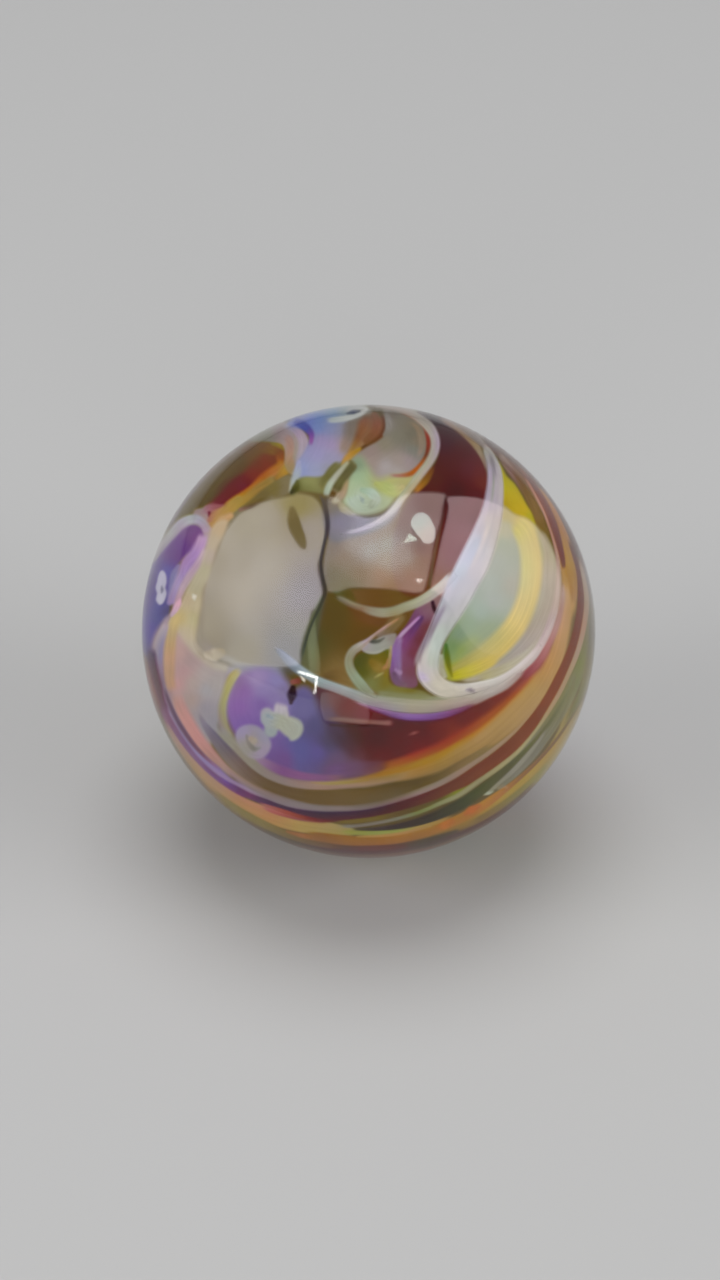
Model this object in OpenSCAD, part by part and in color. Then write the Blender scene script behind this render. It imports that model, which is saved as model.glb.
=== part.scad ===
// Handmade glass marble: one solid ball of fused glass.
// Ribbons and fields of coloured glass lie in a loose swirl just under the
// polished surface, one over another, and are fused into the clear olive body.
// The origin is the centre of the ball and +Z is up. The swirl's face looks
// along -Y, tilted up.

/* [Ball] */
// Diameter of the ball
ball_d = 38; // [20:0.5:60]
// Tilt of the swirl's face above the horizon
face_tilt = 35; // [0:5:60]

/* [Swirl] */
// Width of the coloured ribbons, as a share of the made width
ribbon_share = 1; // [0.7:0.05:1.1]
// Clear glass over the topmost ribbon
clear_skin = 0.3; // [0.1:0.1:1]
// Thickness of the drawn-out coloured glass
leaf_t = 0.08; // [0.04:0.01:0.09]
// Step in depth from one ribbon to the ribbon laid over it
leaf_step = 0.1; // [0.1:0.01:0.12]
// Steps between two points of a ribbon's route
route_steps = 4; // [2:1:6]
// Facets round the ball
ball_facets = 144; // [48:12:192]

/* [Hidden] */
ball_r = ball_d / 2;

// The glasses, each as [red, green, blue]
CLEAR_OLIVE = [0.38, 0.31, 0.18, 0.3];
OLIVE = [0.38, 0.31, 0.18];
DARK_OLIVE = [0.23, 0.24, 0.15];
TAN = [0.66, 0.52, 0.34];
GOLD = [0.72, 0.53, 0.24];
ORANGE = [0.76, 0.44, 0.18];
MUSTARD = [0.75, 0.66, 0.16];
COPPER = [0.54, 0.34, 0.22];
OXBLOOD = [0.40, 0.14, 0.13];
ROSE_BROWN = [0.50, 0.29, 0.24];
SALMON = [0.76, 0.52, 0.44];
CREAM = [0.76, 0.70, 0.56];
WHITE = [0.80, 0.77, 0.76];
LILAC = [0.62, 0.54, 0.70];
VIOLET = [0.42, 0.30, 0.50];
INDIGO = [0.34, 0.34, 0.60];
BLUE = [0.38, 0.50, 0.74];
MINT = [0.68, 0.76, 0.64];
SAGE = [0.58, 0.60, 0.50];
GREEN = [0.44, 0.56, 0.42];
ROSE_GREY = [0.68, 0.58, 0.56];

// Each stroke is [glass, route], and each point of a route is [x, y, width] on
// the swirl's face, x to the right and y up from its middle, in hundredths of
// the ball's radius. A later stroke lies over an earlier one, nearer the surface.
FRONT_STROKES = [
    // bands round the lower edge, outermost first
    [ROSE_BROWN, [[-30, -96, 4], [0, -99, 8], [30, -96, 9], [60, -82, 4]]],
    [GOLD, [[-98, -14, 5], [-91, -40, 16], [-70, -69, 20], [-38, -86, 14],
        [0, -91, 11], [28, -89, 11], [59, -74, 13], [87, -45, 9], [98, -18, 4]]],
    [ORANGE, [[-60, -77, 2], [-20, -93, 5], [20, -93, 6], [50, -81, 6], [80, -56, 4], [93, -33, 2]]],
    [DARK_OLIVE, [[-14, -86, 1], [10, -86, 5], [28, -81, 7], [45, -74, 8], [60, -63, 8], [76, -46, 3]]],
    [SAGE, [[52, -71, 2], [66, -61, 5], [82, -40, 6], [91, -24, 2]]],
    [VIOLET, [[-97, 2, 3], [-96, -14, 5], [-88, -37, 6], [-78, -52, 7], [-54, -72, 8], [-17, -81, 5], [2, -80, 2]]],
    [OXBLOOD, [[-17, -82, 3], [17, -77, 6], [34, -70, 8], [50, -60, 10], [65, -48, 12],
        [76, -31, 11], [86, -12, 9], [92, 6, 7], [95, 24, 6], [91, 40, 3]]],
    [ROSE_GREY, [[-84, -38, 2], [-60, -64, 7], [-39, -75, 6], [-10, -79, 5], [27, -71, 4], [53, -56, 2]]],
    [OLIVE, [[-80, -30, 3], [-74, -42, 8], [-54, -61, 11], [-17, -73, 8], [8, -71, 8], [34, -63, 7], [55, -50, 2]]],
    [TAN, [[-52, -52, 2], [-30, -63, 7], [1, -68, 9], [20, -65, 11], [38, -55, 12],
        [54, -43, 12], [69, -29, 11], [80, -13, 8], [87, 4, 4]]],
    [ORANGE, [[-10, -63, 2], [18, -60, 5], [36, -51, 5], [52, -40, 5], [66, -29, 5], [78, -12, 2]]],
    // the oxblood band and the violet patch that it grows out of
    [OXBLOOD, [[-24, -56, 4], [-8, -54, 17], [10, -53, 18], [24, -49, 17], [42, -40, 14],
        [56, -31, 11], [69, -19, 8], [79, -8, 3]]],
    [VIOLET, [[-66, -10, 3], [-60, -20, 12], [-52, -32, 20], [-38, -46, 22], [-24, -54, 16], [-10, -58, 8]]],
    [INDIGO, [[-40, -30, 6], [-30, -42, 18], [-22, -50, 14], [-14, -55, 5]]],
    [LILAC, [[-50, -14, 3], [-44, -23, 8], [-34, -30, 9], [-20, -35, 5], [-2, -36, 3], [22, -40, 4], [42, -36, 2]]],
    [OLIVE, [[-66, -14, 2], [-62, -24, 5], [-64, -36, 5], [-60, -46, 2]]],
    // left edge
    [INDIGO, [[-92, 34, 3], [-97, 12, 6], [-98, -2, 5], [-96, -16, 3]]],
    [LILAC, [[-74, 42, 3], [-82, 28, 6], [-90, 10, 5], [-93, -8, 3], [-90, -30, 4], [-82, -45, 4], [-60, -70, 2]]],
    [ORANGE, [[-82, 14, 2], [-85, 2, 6], [-86, -16, 6], [-83, -32, 6], [-77, -43, 6], [-67, -55, 2]]],
    [SALMON, [[-82, -14, 3], [-80, -30, 8], [-73, -44, 7], [-62, -57, 3]]],
    [CREAM, [[-64, 50, 3], [-72, 34, 5], [-77, 16, 6], [-77, -3, 6], [-73, -13, 6], [-65, -18, 2]]],
    [VIOLET, [[-72, 54, 3], [-80, 44, 10], [-89, 32, 10], [-95, 22, 3]]],
    [WHITE, [[-88, 46, 2], [-84, 50, 3], [-76, 52, 3], [-71, 48, 3], [-70, 42, 2]]],
    // upper left
    [TAN, [[-66, 52, 3], [-54, 57, 9], [-42, 64, 10], [-34, 72, 4]]],
    [OXBLOOD, [[-72, 54, 3], [-64, 60, 7], [-53, 69, 10], [-42, 79, 7], [-38, 85, 2]]],
    [ORANGE, [[-62, 54, 2], [-52, 62, 4], [-43, 71, 4], [-37, 79, 2]]],
    [BLUE, [[-30, 93, 3], [-18, 92, 12], [-10, 92, 14], [-2, 92, 8]]],
    [LILAC, [[-34, 66, 4], [-24, 74, 14], [-16, 82, 16], [-8, 88, 8]]],
    [INDIGO, [[-36, 90, 2], [-29, 90, 5], [-26, 85, 4], [-28, 79, 3], [-33, 72, 2]]],
    [WHITE, [[-39, 89, 3], [-33, 87, 5], [-31, 81, 6], [-33, 74, 4], [-38, 67, 2]]],
    [TAN, [[-40, 86, 2], [-37, 80, 4], [-37, 73, 4], [-41, 66, 2]]],
    // top
    [COPPER, [[-1, 97, 3], [0, 91, 9], [-2, 83, 11], [-8, 75, 7], [-17, 67, 2]]],
    [SAGE, [[6, 96, 4], [13, 89, 16], [15, 80, 18], [8, 72, 10], [0, 66, 3]]],
    [MINT, [[12, 70, 4], [4, 65, 12], [-4, 58, 14], [-9, 52, 6]]],
    [OLIVE, [[-6, 74, 2], [-11, 70, 4], [-17, 65, 3], [-21, 61, 2]]],
    [LILAC, [[14, 48, 2], [0, 43, 6], [-14, 41, 5], [-28, 44, 2]]],
    [WHITE, [[1, 99, 2], [19, 97, 4], [27, 92, 5], [30, 84, 6], [26, 74, 5], [18, 63, 4],
        [8, 51, 4], [-1, 45, 4], [-12, 42, 2]]],
    // upper right
    [OXBLOOD, [[32, 92, 4], [39, 84, 11], [43, 70, 15], [42, 56, 18], [37, 40, 15], [32, 24, 8], [29, 12, 3]]],
    [TAN, [[31, 94, 2], [42, 88, 4], [49, 80, 4], [53, 73, 2]]],
    [COPPER, [[60, 78, 3], [68, 68, 9], [73, 54, 8], [77, 40, 3]]],
    [MUSTARD, [[58, 68, 3], [63, 59, 8], [69, 48, 8], [75, 35, 3]]],
    [COPPER, [[68, 71, 2], [77, 58, 4], [83, 43, 4], [87, 26, 2]]],
    [ORANGE, [[78, 60, 2], [85, 47, 4], [90, 32, 4], [91, 22, 2]]],
    // inside the white hook
    [ROSE_GREY, [[72, 46, 3], [78, 32, 8], [79, 16, 8], [75, 2, 7], [66, -9, 6], [54, -18, 3]]],
    [SAGE, [[66, 34, 5], [63, 20, 12], [56, 8, 13], [46, -2, 10], [38, -9, 5]]],
    [MUSTARD, [[71, 42, 2], [72, 24, 8], [69, 8, 9], [62, -5, 9], [50, -14, 8], [38, -19, 3]]],
    [GREEN, [[54, 20, 3], [48, 8, 5], [41, -2, 6], [36, -10, 3]]],
    // the white hook, and the thread that runs back up from its end
    [WHITE, [[50, 82, 2], [54, 74, 5], [55, 64, 7], [53, 52, 8], [50, 38, 10], [46, 25, 11], [41, 14, 10],
        [34, 4, 9], [28, -7, 8], [26, -16, 8], [30, -24, 8], [38, -27, 8], [48, -25, 7],
        [57, -22, 6], [66, -16, 4], [73, -9, 3], [79, 3, 3], [83, 18, 3], [82, 34, 3], [78, 51, 3], [70, 67, 2]]],
    // middle
    [ROSE_BROWN, [[12, 8, 3], [17, -4, 12], [22, -14, 10], [25, -22, 3]]],
    [MINT, [[9, 4, 2], [2, -2, 3], [-6, -9, 5], [-7, -16, 6], [-3, -23, 4], [2, -27, 2]]],
    [TAN, [[4, -6, 3], [4, -13, 8], [2, -20, 3]]],
    [WHITE, [[-44, -6, 2], [-34, -15, 5], [-20, -22, 5], [-3, -28, 4], [14, -33, 4], [30, -34, 4], [46, -31, 2]]],
    [WHITE, [[-18, 16, 2], [-5, 11, 3], [8, 8, 3], [22, 12, 3], [36, 22, 2]]]
];
// The far side, seen from behind: the bands run on round the ball and close up.
BACK_STROKES = [
    [GOLD, [[-97, -18, 6], [-80, -52, 20], [-40, -80, 22], [6, -84, 20], [52, -66, 16], [84, -34, 8], [96, -10, 3]]],
    [OXBLOOD, [[-94, 12, 5], [-74, -26, 16], [-40, -50, 20], [2, -56, 18], [40, -40, 16], [66, -10, 12], [74, 22, 4]]],
    [ORANGE, [[-90, 2, 2], [-68, -40, 6], [-32, -64, 6], [8, -69, 6], [50, -50, 5], [76, -18, 2]]],
    [SAGE, [[-84, 40, 5], [-62, 4, 18], [-30, -18, 20], [8, -24, 20], [38, -6, 16], [50, 22, 10], [44, 44, 3]]],
    [CREAM, [[-92, 26, 2], [-68, -12, 5], [-34, -35, 6], [6, -40, 6], [44, -20, 6], [58, 14, 5], [50, 42, 2]]],
    [VIOLET, [[-60, 72, 4], [-56, 40, 16], [-34, 12, 20], [-4, 2, 18], [18, 12, 12], [22, 30, 4]]],
    [MUSTARD, [[-44, 82, 3], [-34, 56, 10], [-18, 38, 12], [4, 34, 8], [12, 44, 2]]],
    [BLUE, [[-8, 92, 4], [10, 76, 18], [36, 66, 18], [58, 48, 8], [66, 34, 2]]],
    [WHITE, [[-70, 58, 2], [-46, 24, 5], [-20, 16, 6], [2, 18, 6], [10, 30, 5], [0, 42, 3], [-14, 48, 2]]],
    [COPPER, [[30, 92, 3], [52, 78, 8], [74, 52, 8], [86, 22, 3]]]
];

// Point at share t of the way from b to c on the smooth curve through a, b, c and d
function curve_point(a, b, c, d, t) =
    (2 * b + (c - a) * t + (2 * a - 5 * b + 4 * c - d) * t * t
        + (3 * b - a - 3 * c + d) * t * t * t) / 2;

// The route with its steps filled in, so that the ribbon bends smoothly
function smooth(route) =
    let (last = len(route) - 1)
    [for (i = [0 : last - 1], s = [0 : route_steps - 1])
        curve_point(route[max(i - 1, 0)], route[i], route[i + 1], route[min(i + 2, last)], s / route_steps),
     route[last]];

// Unit vector square to the path at point i
function side_at(path, i) =
    let (ahead = path[min(i + 1, len(path) - 1)] - path[max(i - 1, 0)])
    [-ahead.y, ahead.x] / norm([ahead.x, ahead.y]);

// One edge of a ribbon: side is 1 for the left edge and -1 for the right one
function edge(path, side) =
    [for (i = [0 : len(path) - 1])
        [path[i].x, path[i].y] + side_at(path, i) * side * path[i].z * ribbon_share / 2];

function reversed(list) = [for (i = [len(list) - 1 : -1 : 0]) list[i]];

// Flat outline of one stroke, in mm on the face
module stroke_outline(stroke) {
    path = smooth(stroke[1]);
    polygon(concat(edge(path, 1), reversed(edge(path, -1))) * ball_r / 100);
}

// Thin leaf of glass all round the ball, at a depth under its surface
module leaf(depth) {
    difference() {
        sphere(r = ball_r - depth, $fn = ball_facets);
        sphere(r = ball_r - depth - leaf_t, $fn = ball_facets);
    }
}

// Column over an outline on the face, from the ball's middle to past its surface
module column() {
    linear_extrude(ball_d)
        children();
}

// Every stroke of one face, cut from its own leaf, the last one topmost
module coloured_glass(strokes) {
    topmost = len(strokes) - 1;
    for (i = [0 : topmost])
        color(strokes[i][0])
            intersection() {
                leaf(clear_skin + leaf_step * (topmost - i));
                column() stroke_outline(strokes[i]);
            }
}

// The swirl's face, which is drawn looking up, turned to the front of the marble
module swirl_face() {
    rotate([90 - face_tilt, 0, 0])
        coloured_glass(FRONT_STROKES);
}

// The far side, straight behind that face
module far_side() {
    rotate([-90 - face_tilt, 0, 0])
        coloured_glass(BACK_STROKES);
}

// The clear olive ball that holds the coloured glass
module clear_body() {
    color(CLEAR_OLIVE)
        sphere(d = ball_d, $fn = ball_facets);
}

module marble() {
    swirl_face();
    far_side();
    clear_body();
}

marble();
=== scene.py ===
import math
import bmesh
import bpy
import numpy as np
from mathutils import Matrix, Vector


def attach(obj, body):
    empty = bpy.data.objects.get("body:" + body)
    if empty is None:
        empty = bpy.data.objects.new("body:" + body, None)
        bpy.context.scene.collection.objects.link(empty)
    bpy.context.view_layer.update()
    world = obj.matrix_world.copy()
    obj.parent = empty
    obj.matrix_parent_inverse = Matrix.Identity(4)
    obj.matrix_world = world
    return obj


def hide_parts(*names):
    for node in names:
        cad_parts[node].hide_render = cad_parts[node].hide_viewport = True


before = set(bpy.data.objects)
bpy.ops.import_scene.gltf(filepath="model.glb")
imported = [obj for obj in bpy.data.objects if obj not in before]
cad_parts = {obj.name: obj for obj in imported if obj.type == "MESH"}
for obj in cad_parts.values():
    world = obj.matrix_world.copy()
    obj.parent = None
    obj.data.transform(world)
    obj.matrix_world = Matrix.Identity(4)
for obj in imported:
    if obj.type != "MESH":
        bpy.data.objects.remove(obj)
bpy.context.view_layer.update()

MM = 0.001
R = 19.0                        # the ball's radius, mm
GLASS_IOR = 1.5
LENS, SENSOR = 85.0, 36.0       # mm
PICTURE_W, PICTURE_H = 720, 1280
FOCAL_PX = LENS / SENSOR * PICTURE_H
BALL_X, BALL_Y = 368.5, 631.5   # where the ball's centre lies in the picture, px
BALL_PX = 227.0                 # the radius of its outline there, px
D = R * math.hypot(1.0, FOCAL_PX / BALL_PX)   # from the camera to the ball's centre, mm
VIEW_ELEVATION = 35.0
SIGHT_STEPS = 400
EDGE_SHARE = 0.99               # the share of the outline where the picture ends
LIMB_ANGLE, FAR_MIX = 87.0, 6.0   # where the far side begins to take over, and over how many degrees
BACK_SPREAD = 4.0               # px to a degree on the far side's chart
BACK_PX = (180.0 - LIMB_ANGLE) * BACK_SPREAD
GAMMA = 2.2
GROUND = "5c4c28"
SHEEN = 0.018                   # light that the polished skin adds, left out of the paint
DARKEST, PALEST = 0.004, 0.9    # bounds of the painted colours, linear
CURVE_STEPS = 6
MARK_BLUR, MARK_FALL = 6.0, 1.5   # px that a patch's mark stays even, and how fast it gives way
THREAD_PITCHES = (2.3, 3.7, 6.1)   # the streaks' spacings, px
THREAD_BENDS, THREAD_FADES = 7.0, 13.0   # how often they sway and fade along a stroke
BACK_PITCH = 4.0                # how much wider the streaks of the far side are
BRUSH_STREAK, FIELD_STREAK, BAND_STREAK = 0.03, 0.012, 0.06   # how strong the streaks are
GROW = 1.2                      # px that every stroke and patch reaches past its outline
FULL_GROW_HALF, GROW_START = 2.6, 0.4   # a stroke gets half width / the first - the second of that reach
EDGE_ROOM = 1.2                 # a stroke's edge is at most this much wider than its half width, px
TIP_FADE, TIP_POINTS = 0.7, 4   # a stroke of more points fades in and out over this share of a span
BAND_START, BAND_TURN = -186.0, 36.0   # where the bands of the far side begin, and how far apart, degrees
BAND_SWEEP, BAND_WIDEN = 230.0, 1.5   # degrees that they turn on their way in, and their share of the room
BAND_SOFT, LINE_SOFT, FRIT_SOFT = 7.0, 3.0, 5.0   # how soft the far side's strokes are, px
INWARD_POINTS, INWARD_START, INWARD_FALL, INWARD_BEND = 11, 1.03, 1.08, 1.3   # that way's shape
INWARD_SWAY, INWARD_WAVES, INWARD_STEP, INWARD_END = 0.05, 6.0, 0.15, 1.1
CORE_DEPTH = 0.982              # the swirl's own radius, as a share of the ball's
RISE_SPAN = 0.01
FRONT_REACH = 92.0              # how far round the front cap and the zone beside it go, degrees
CAP_PX = 150.0                  # the front cap's radius in the picture
FRONT_GRID, BACK_GRID = 272, 300   # cells across the caps
ZONE_ROWS, ZONE_COLUMNS = 88, 4 * FRONT_GRID
PACE_STEPS = 2000
SPREAD_PX = 80.0                # px per radian that the zone's rows keep where the picture squeezes them
LEAF_EDGE, LEAF_CROWN, LEAF_ROOT = 0.9813, 0.009, 0.009   # a ribbon's edge, rise and depth, as shares of R
LEAF_ACROSS = 9                 # points across a ribbon
LEAF_WIDTH, LEAF_LEAST = 1.15, 0.6   # how much wider than painted a ribbon is, and its least width, px
LEAF_FULL_HALF = 6.0            # half width from which a ribbon has its full rise, px
BALL_SUBDIVISIONS = 7
STUDIO_LEVEL = 0.22
FLOOR_COLOUR = 0.56
FLOOR_SIZE = 4000.0
LAMP_SIZE, LAMP_DISTANCE = 600.0, 800.0
LAMPS = (("low_front", (0.0, -1.0, 0.12), 0.34), ("left", (-0.9, -0.35, 0.35), 0.50),
         ("right", (0.9, -0.35, 0.35), 0.50), ("top", (0.0, 0.15, 1.0), 0.42))
BOX_LEFT, BOX_RIGHT, BOX_TOP, BOX_FOOT, BOX_STEP = 188.0, 568.0, 488.0, 730.0, 1.5   # px
BOX_RIM = 8.0                   # px inside the ball's outline where the soft boxes' card ends
BOX_DISTANCE, BOX_LIFT = 600.0, 1.0   # from the ball and over the floor, mm

# ---------------- where a point of the picture lies on the ball

def axis_frame():
    """Right, up and toward-the-camera directions of the view, with the ball's centre as the origin."""
    tilt = math.radians(VIEW_ELEVATION)
    right = np.array([1.0, 0.0, 0.0])
    up = np.array([0.0, math.sin(tilt), math.cos(tilt)])
    toward = np.array([0.0, -math.cos(tilt), math.sin(tilt)])
    return right, up, toward


def direction_at(phi, turn, pole=1):
    """Unit directions at the angle phi from the view axis, or from its far end where pole is -1, and at the
    turn about it."""
    right, up, toward = axis_frame()
    side = np.outer(np.cos(turn), right) + np.outer(np.sin(turn), up)
    return np.cos(phi)[:, None] * toward * pole + np.sin(phi)[:, None] * side


def sight_table(depth):
    """For sight lines from the ball's middle out to its limb: the picture radius in px, and the angle from
    the view axis at which the line, bent by the glass, meets a ball of radius depth * R."""
    outer = np.linspace(0.0, math.acos(R / D), SIGHT_STEPS)
    tilt = np.arctan2(R * np.sin(outer), D - R * np.cos(outer))
    bent = np.arcsin(np.clip(np.sin(outer + tilt) / GLASS_IOR, -1.0, 1.0))
    angle = outer + np.arcsin(np.sin(bent) / depth) - bent
    return FOCAL_PX * np.tan(tilt), angle


def from_axis(spots, pole=1):
    """The angle of each unit direction from the view axis, or from its far end where pole is -1."""
    return np.arccos(np.clip(spots @ axis_frame()[2] * pole, -1.0, 1.0))


def round_middle(spots, rho):
    """The picture points rho px from the ball's middle, on the side where the directions lie."""
    right, up = axis_frame()[:2]
    turn = np.arctan2(spots @ up, spots @ right)
    return BALL_X + rho * np.cos(turn), BALL_Y - rho * np.sin(turn)


def to_picture(spots, depth):
    """The picture point of each unit direction. Those near the limb and past it lie at its edge."""
    radius_px, angle = sight_table(depth)
    rho = np.interp(from_axis(spots), angle, radius_px)
    return round_middle(spots, np.minimum(rho, BALL_PX * EDGE_SHARE))


def to_back(spots):
    """The point of each unit direction on the far side's own chart, BACK_SPREAD px to a degree."""
    return round_middle(spots, np.degrees(from_axis(spots, -1)) * BACK_SPREAD)


def to_ball(x, y, depth):
    """The unit direction that the picture point (x, y) shows on a ball of radius depth * R."""
    radius_px, angle = sight_table(depth)
    across = x - BALL_X
    rise = BALL_Y - y
    return direction_at(np.interp(np.hypot(across, rise), radius_px, angle), np.arctan2(rise, across))


# ---------------- the paint

def srgb(code):
    return np.array([int(code[i:i + 2], 16) for i in (0, 2, 4)]) / 255.0


def along(codes, t):
    """The colour at t (0 to 1) of evenly spaced stops."""
    colours = np.array([srgb(code) for code in codes.split()])
    places = np.linspace(0.0, 1.0, len(colours))
    return np.stack([np.interp(t, places, colours[:, k]) for k in range(3)], axis=-1)


def round_limb(route, span=BALL_PX):
    """Picture points of a route given as (degrees clockwise from the right, share of the span, width)."""
    points = []
    for turn, share, width in route:
        angle = math.radians(turn)
        reach = span * share
        points.append((BALL_X + reach * math.cos(angle), BALL_Y + reach * math.sin(angle), width))
    return points


def points_of(route):
    """The points that a route or an outline spells: x,y,width or x,y in px, or after the word limb what
    round_limb takes."""
    points = [[float(value) for value in point.split(",")] for point in route.removeprefix("limb ").split()]
    return round_limb(points) if route.startswith("limb ") else points


def marks_of(spelled):
    """The places and the colours of a patch's marks, spelled x,y,code in px."""
    parts = [mark.split(",") for mark in spelled.split()]
    return [(float(x), float(y)) for x, y, code in parts], np.array([srgb(code) for x, y, code in parts])


def smooth_curve(points, closed=False):
    """A Catmull-Rom curve through the points. Its last column runs from 0 to 1, evenly by point."""
    knots = np.array(points, float)
    count = len(knots)
    if closed:
        padded = np.vstack([knots[-1:], knots, knots[:2]])
        spans = count
    else:
        padded = np.vstack([2 * knots[0] - knots[1], knots, 2 * knots[-1] - knots[-2]])
        spans = count - 1
    rows = []
    for i in range(spans):
        a, b, c, d = padded[i:i + 4]
        for s in np.arange(CURVE_STEPS) / CURVE_STEPS:
            spot = 0.5 * (2 * b + (c - a) * s + (2 * a - 5 * b + 4 * c - d) * s**2
                          + (3 * b - a - 3 * c + d) * s**3)
            rows.append([*spot, (i + s) / spans])
    rows.append([*(knots[0] if closed else knots[-1]), 1.0])
    return np.array(rows)


def without(colour, light):
    """Linear colours less a grey light, or less as much of it as leaves their hue."""
    return colour - np.minimum(light, colour.min(axis=1))[:, None]


def ease(value):
    value = np.clip(value, 0.0, 1.0)
    return value * value * (3.0 - 2.0 * value)


def nearest_on(curve, x, y):
    """Distance from each point to the curve, signed + on its left as seen in the picture, and each of the
    curve's other columns there."""
    best = np.full(len(x), np.inf)
    side = np.zeros(len(x))
    rest = np.zeros((len(x), curve.shape[1] - 2))
    for a, b in zip(curve[:-1], curve[1:]):
        dx, dy = b[0] - a[0], b[1] - a[1]
        length2 = dx * dx + dy * dy + 1e-9
        s = np.clip(((x - a[0]) * dx + (y - a[1]) * dy) / length2, 0.0, 1.0)
        ox = x - a[0] - s * dx
        oy = y - a[1] - s * dy
        gap = ox * ox + oy * oy
        near = gap < best
        best[near] = gap[near]
        side[near] = (ox * dy - oy * dx)[near]
        rest[near] = a[2:] + s[near, None] * (b[2:] - a[2:])
    return np.sqrt(best) * np.sign(side), rest.T


def threads(name, across, t):
    """Fine drawn streaks along a stroke, from -1 to 1 or so, the same each time for the same name."""
    seed = np.random.default_rng(sum(ord(letter) * (i + 1) for i, letter in enumerate(name)))
    total = np.zeros(len(across))
    for pitch in THREAD_PITCHES:
        phase, sway, turn = seed.uniform(0.0, 2.0 * math.pi, 3)
        wave = np.sin(across * 2.0 * math.pi / pitch + phase + 2.0 * np.sin(t * THREAD_BENDS + sway))
        total += wave * (1.0 + 0.5 * np.sin(t * THREAD_FADES + turn))
    return total / len(THREAD_PITCHES)


class Canvas:
    """Points in the picture with a colour each, painted stroke over stroke."""

    def __init__(self, x, y, base, pitch=1.0, streaks=1.0):
        self.x, self.y = x, y
        self.pitch, self.streaks = pitch, streaks
        self.colour = np.tile(srgb(base), (len(x), 1))
        self.set(blur=1.0, tone=1.0, vivid=1.0)

    def set(self, blur, tone, vivid, grow=GROW, gloss=0.0):
        """How soft the next strokes' edges are, how bright and how vivid their colours, how many px they
        reach past their outlines, and how much of the polished skin's light is left out of them."""
        self.blur, self.tone, self.vivid, self.grow, self.gloss = blur, tone, vivid, grow, gloss

    def paint(self, strokes):
        """Lays a table of strokes, (name, softness, route, stops, ...), and of patches, which have marks
        where a stroke has stops. A dict in it sets the canvas."""
        for stroke in strokes:
            if isinstance(stroke, dict):
                self.set(**stroke)
                continue
            name, soft, route, colours, *rest = stroke
            lay_one = self.field if "," in colours else self.brush
            lay_one(name, soft, points_of(route), colours, *rest)

    def inside(self, curve, margin):
        low = curve[:, :2].min(axis=0) - margin
        high = curve[:, :2].max(axis=0) + margin
        hit = (self.x > low[0]) & (self.x < high[0]) & (self.y > low[1]) & (self.y < high[1])
        return np.nonzero(hit)[0]

    def lay(self, at, colour, cover):
        grey = colour.mean(axis=1)[:, None]
        colour = np.clip(grey * self.tone + (colour - grey) * self.vivid, 0.0, 1.0)
        colour = without(colour**GAMMA, self.gloss)**(1.0 / GAMMA)
        self.colour[at] += (colour - self.colour[at]) * cover[:, None]

    def streaked(self, colour, streak, name, across, t):
        return colour * (1.0 + streak * self.streaks * threads(name, across / self.pitch, t))[:, None]

    def brush(self, name, soft, points, left, right="", cover=1.0, streak=BRUSH_STREAK):
        """A ribbon of glass along a route of (x, y, width), with stops of colour along its left edge and,
        where given, along its right."""
        curve = smooth_curve(points)
        soft *= self.blur
        at = self.inside(curve, curve[:, 2].max() / 2 + soft + self.grow)
        if not len(at):
            return
        gap, (width, t) = nearest_on(curve, self.x[at], self.y[at])
        half = np.maximum(width, 0.0) / 2.0
        across = np.clip(0.5 + 0.5 * gap / (half + 1e-6), 0.0, 1.0)
        colour = along(left, t)
        if right:
            colour = colour * across[:, None] + along(right, t) * (1.0 - across[:, None])
        colour = self.streaked(colour, streak, name, gap, t)
        grow = self.grow * np.clip(half / FULL_GROW_HALF - GROW_START, 0.0, 1.0)
        edge = ease((half + grow - np.abs(gap)) / np.minimum(soft, half + EDGE_ROOM) + 0.5)
        spans = len(points) - 1
        tip = ease(np.minimum(t, 1.0 - t) * spans / TIP_FADE) if len(points) > TIP_POINTS else 1.0
        self.lay(at, colour, cover * edge * tip * np.clip(2.0 * half, 0.0, 1.0))

    def field(self, name, soft, outline, spelled):
        """A closed patch, coloured by marks that are each strongest near their own place."""
        curve = smooth_curve(outline, closed=True)
        soft *= self.blur
        at = self.inside(curve, soft + self.grow)
        if not len(at):
            return
        x, y = self.x[at], self.y[at]
        gap, (t,) = nearest_on(curve, x, y)
        within = np.zeros(len(at), bool)
        for a, b in zip(curve[:-1], curve[1:]):
            crosses = (a[1] > y) != (b[1] > y)
            within ^= crosses & (x < a[0] + (y - a[1]) * (b[0] - a[0]) / (b[1] - a[1] + 1e-12))
        depth = np.where(within, 1.0, -1.0) * np.abs(gap)
        places, colours = marks_of(spelled)
        gaps = np.stack([(x - mx)**2 + (y - my)**2 for mx, my in places])
        weight = 1.0 / (gaps + MARK_BLUR**2)**MARK_FALL
        weight /= weight.sum(axis=0)
        colour = self.streaked(weight.T @ colours, FIELD_STREAK, name, depth, t)
        self.lay(at, colour, ease((depth + self.grow) / soft + 0.5))


# ---------------- the swirl, later strokes over earlier ones
# A stroke is its name, its softness, its route of x,y,width in px, its stops of colour along it or along its
# left and its right edge, and its cover where that is not full. A patch is its name, its softness, its
# outline of x,y and its x,y,code marks.

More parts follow.
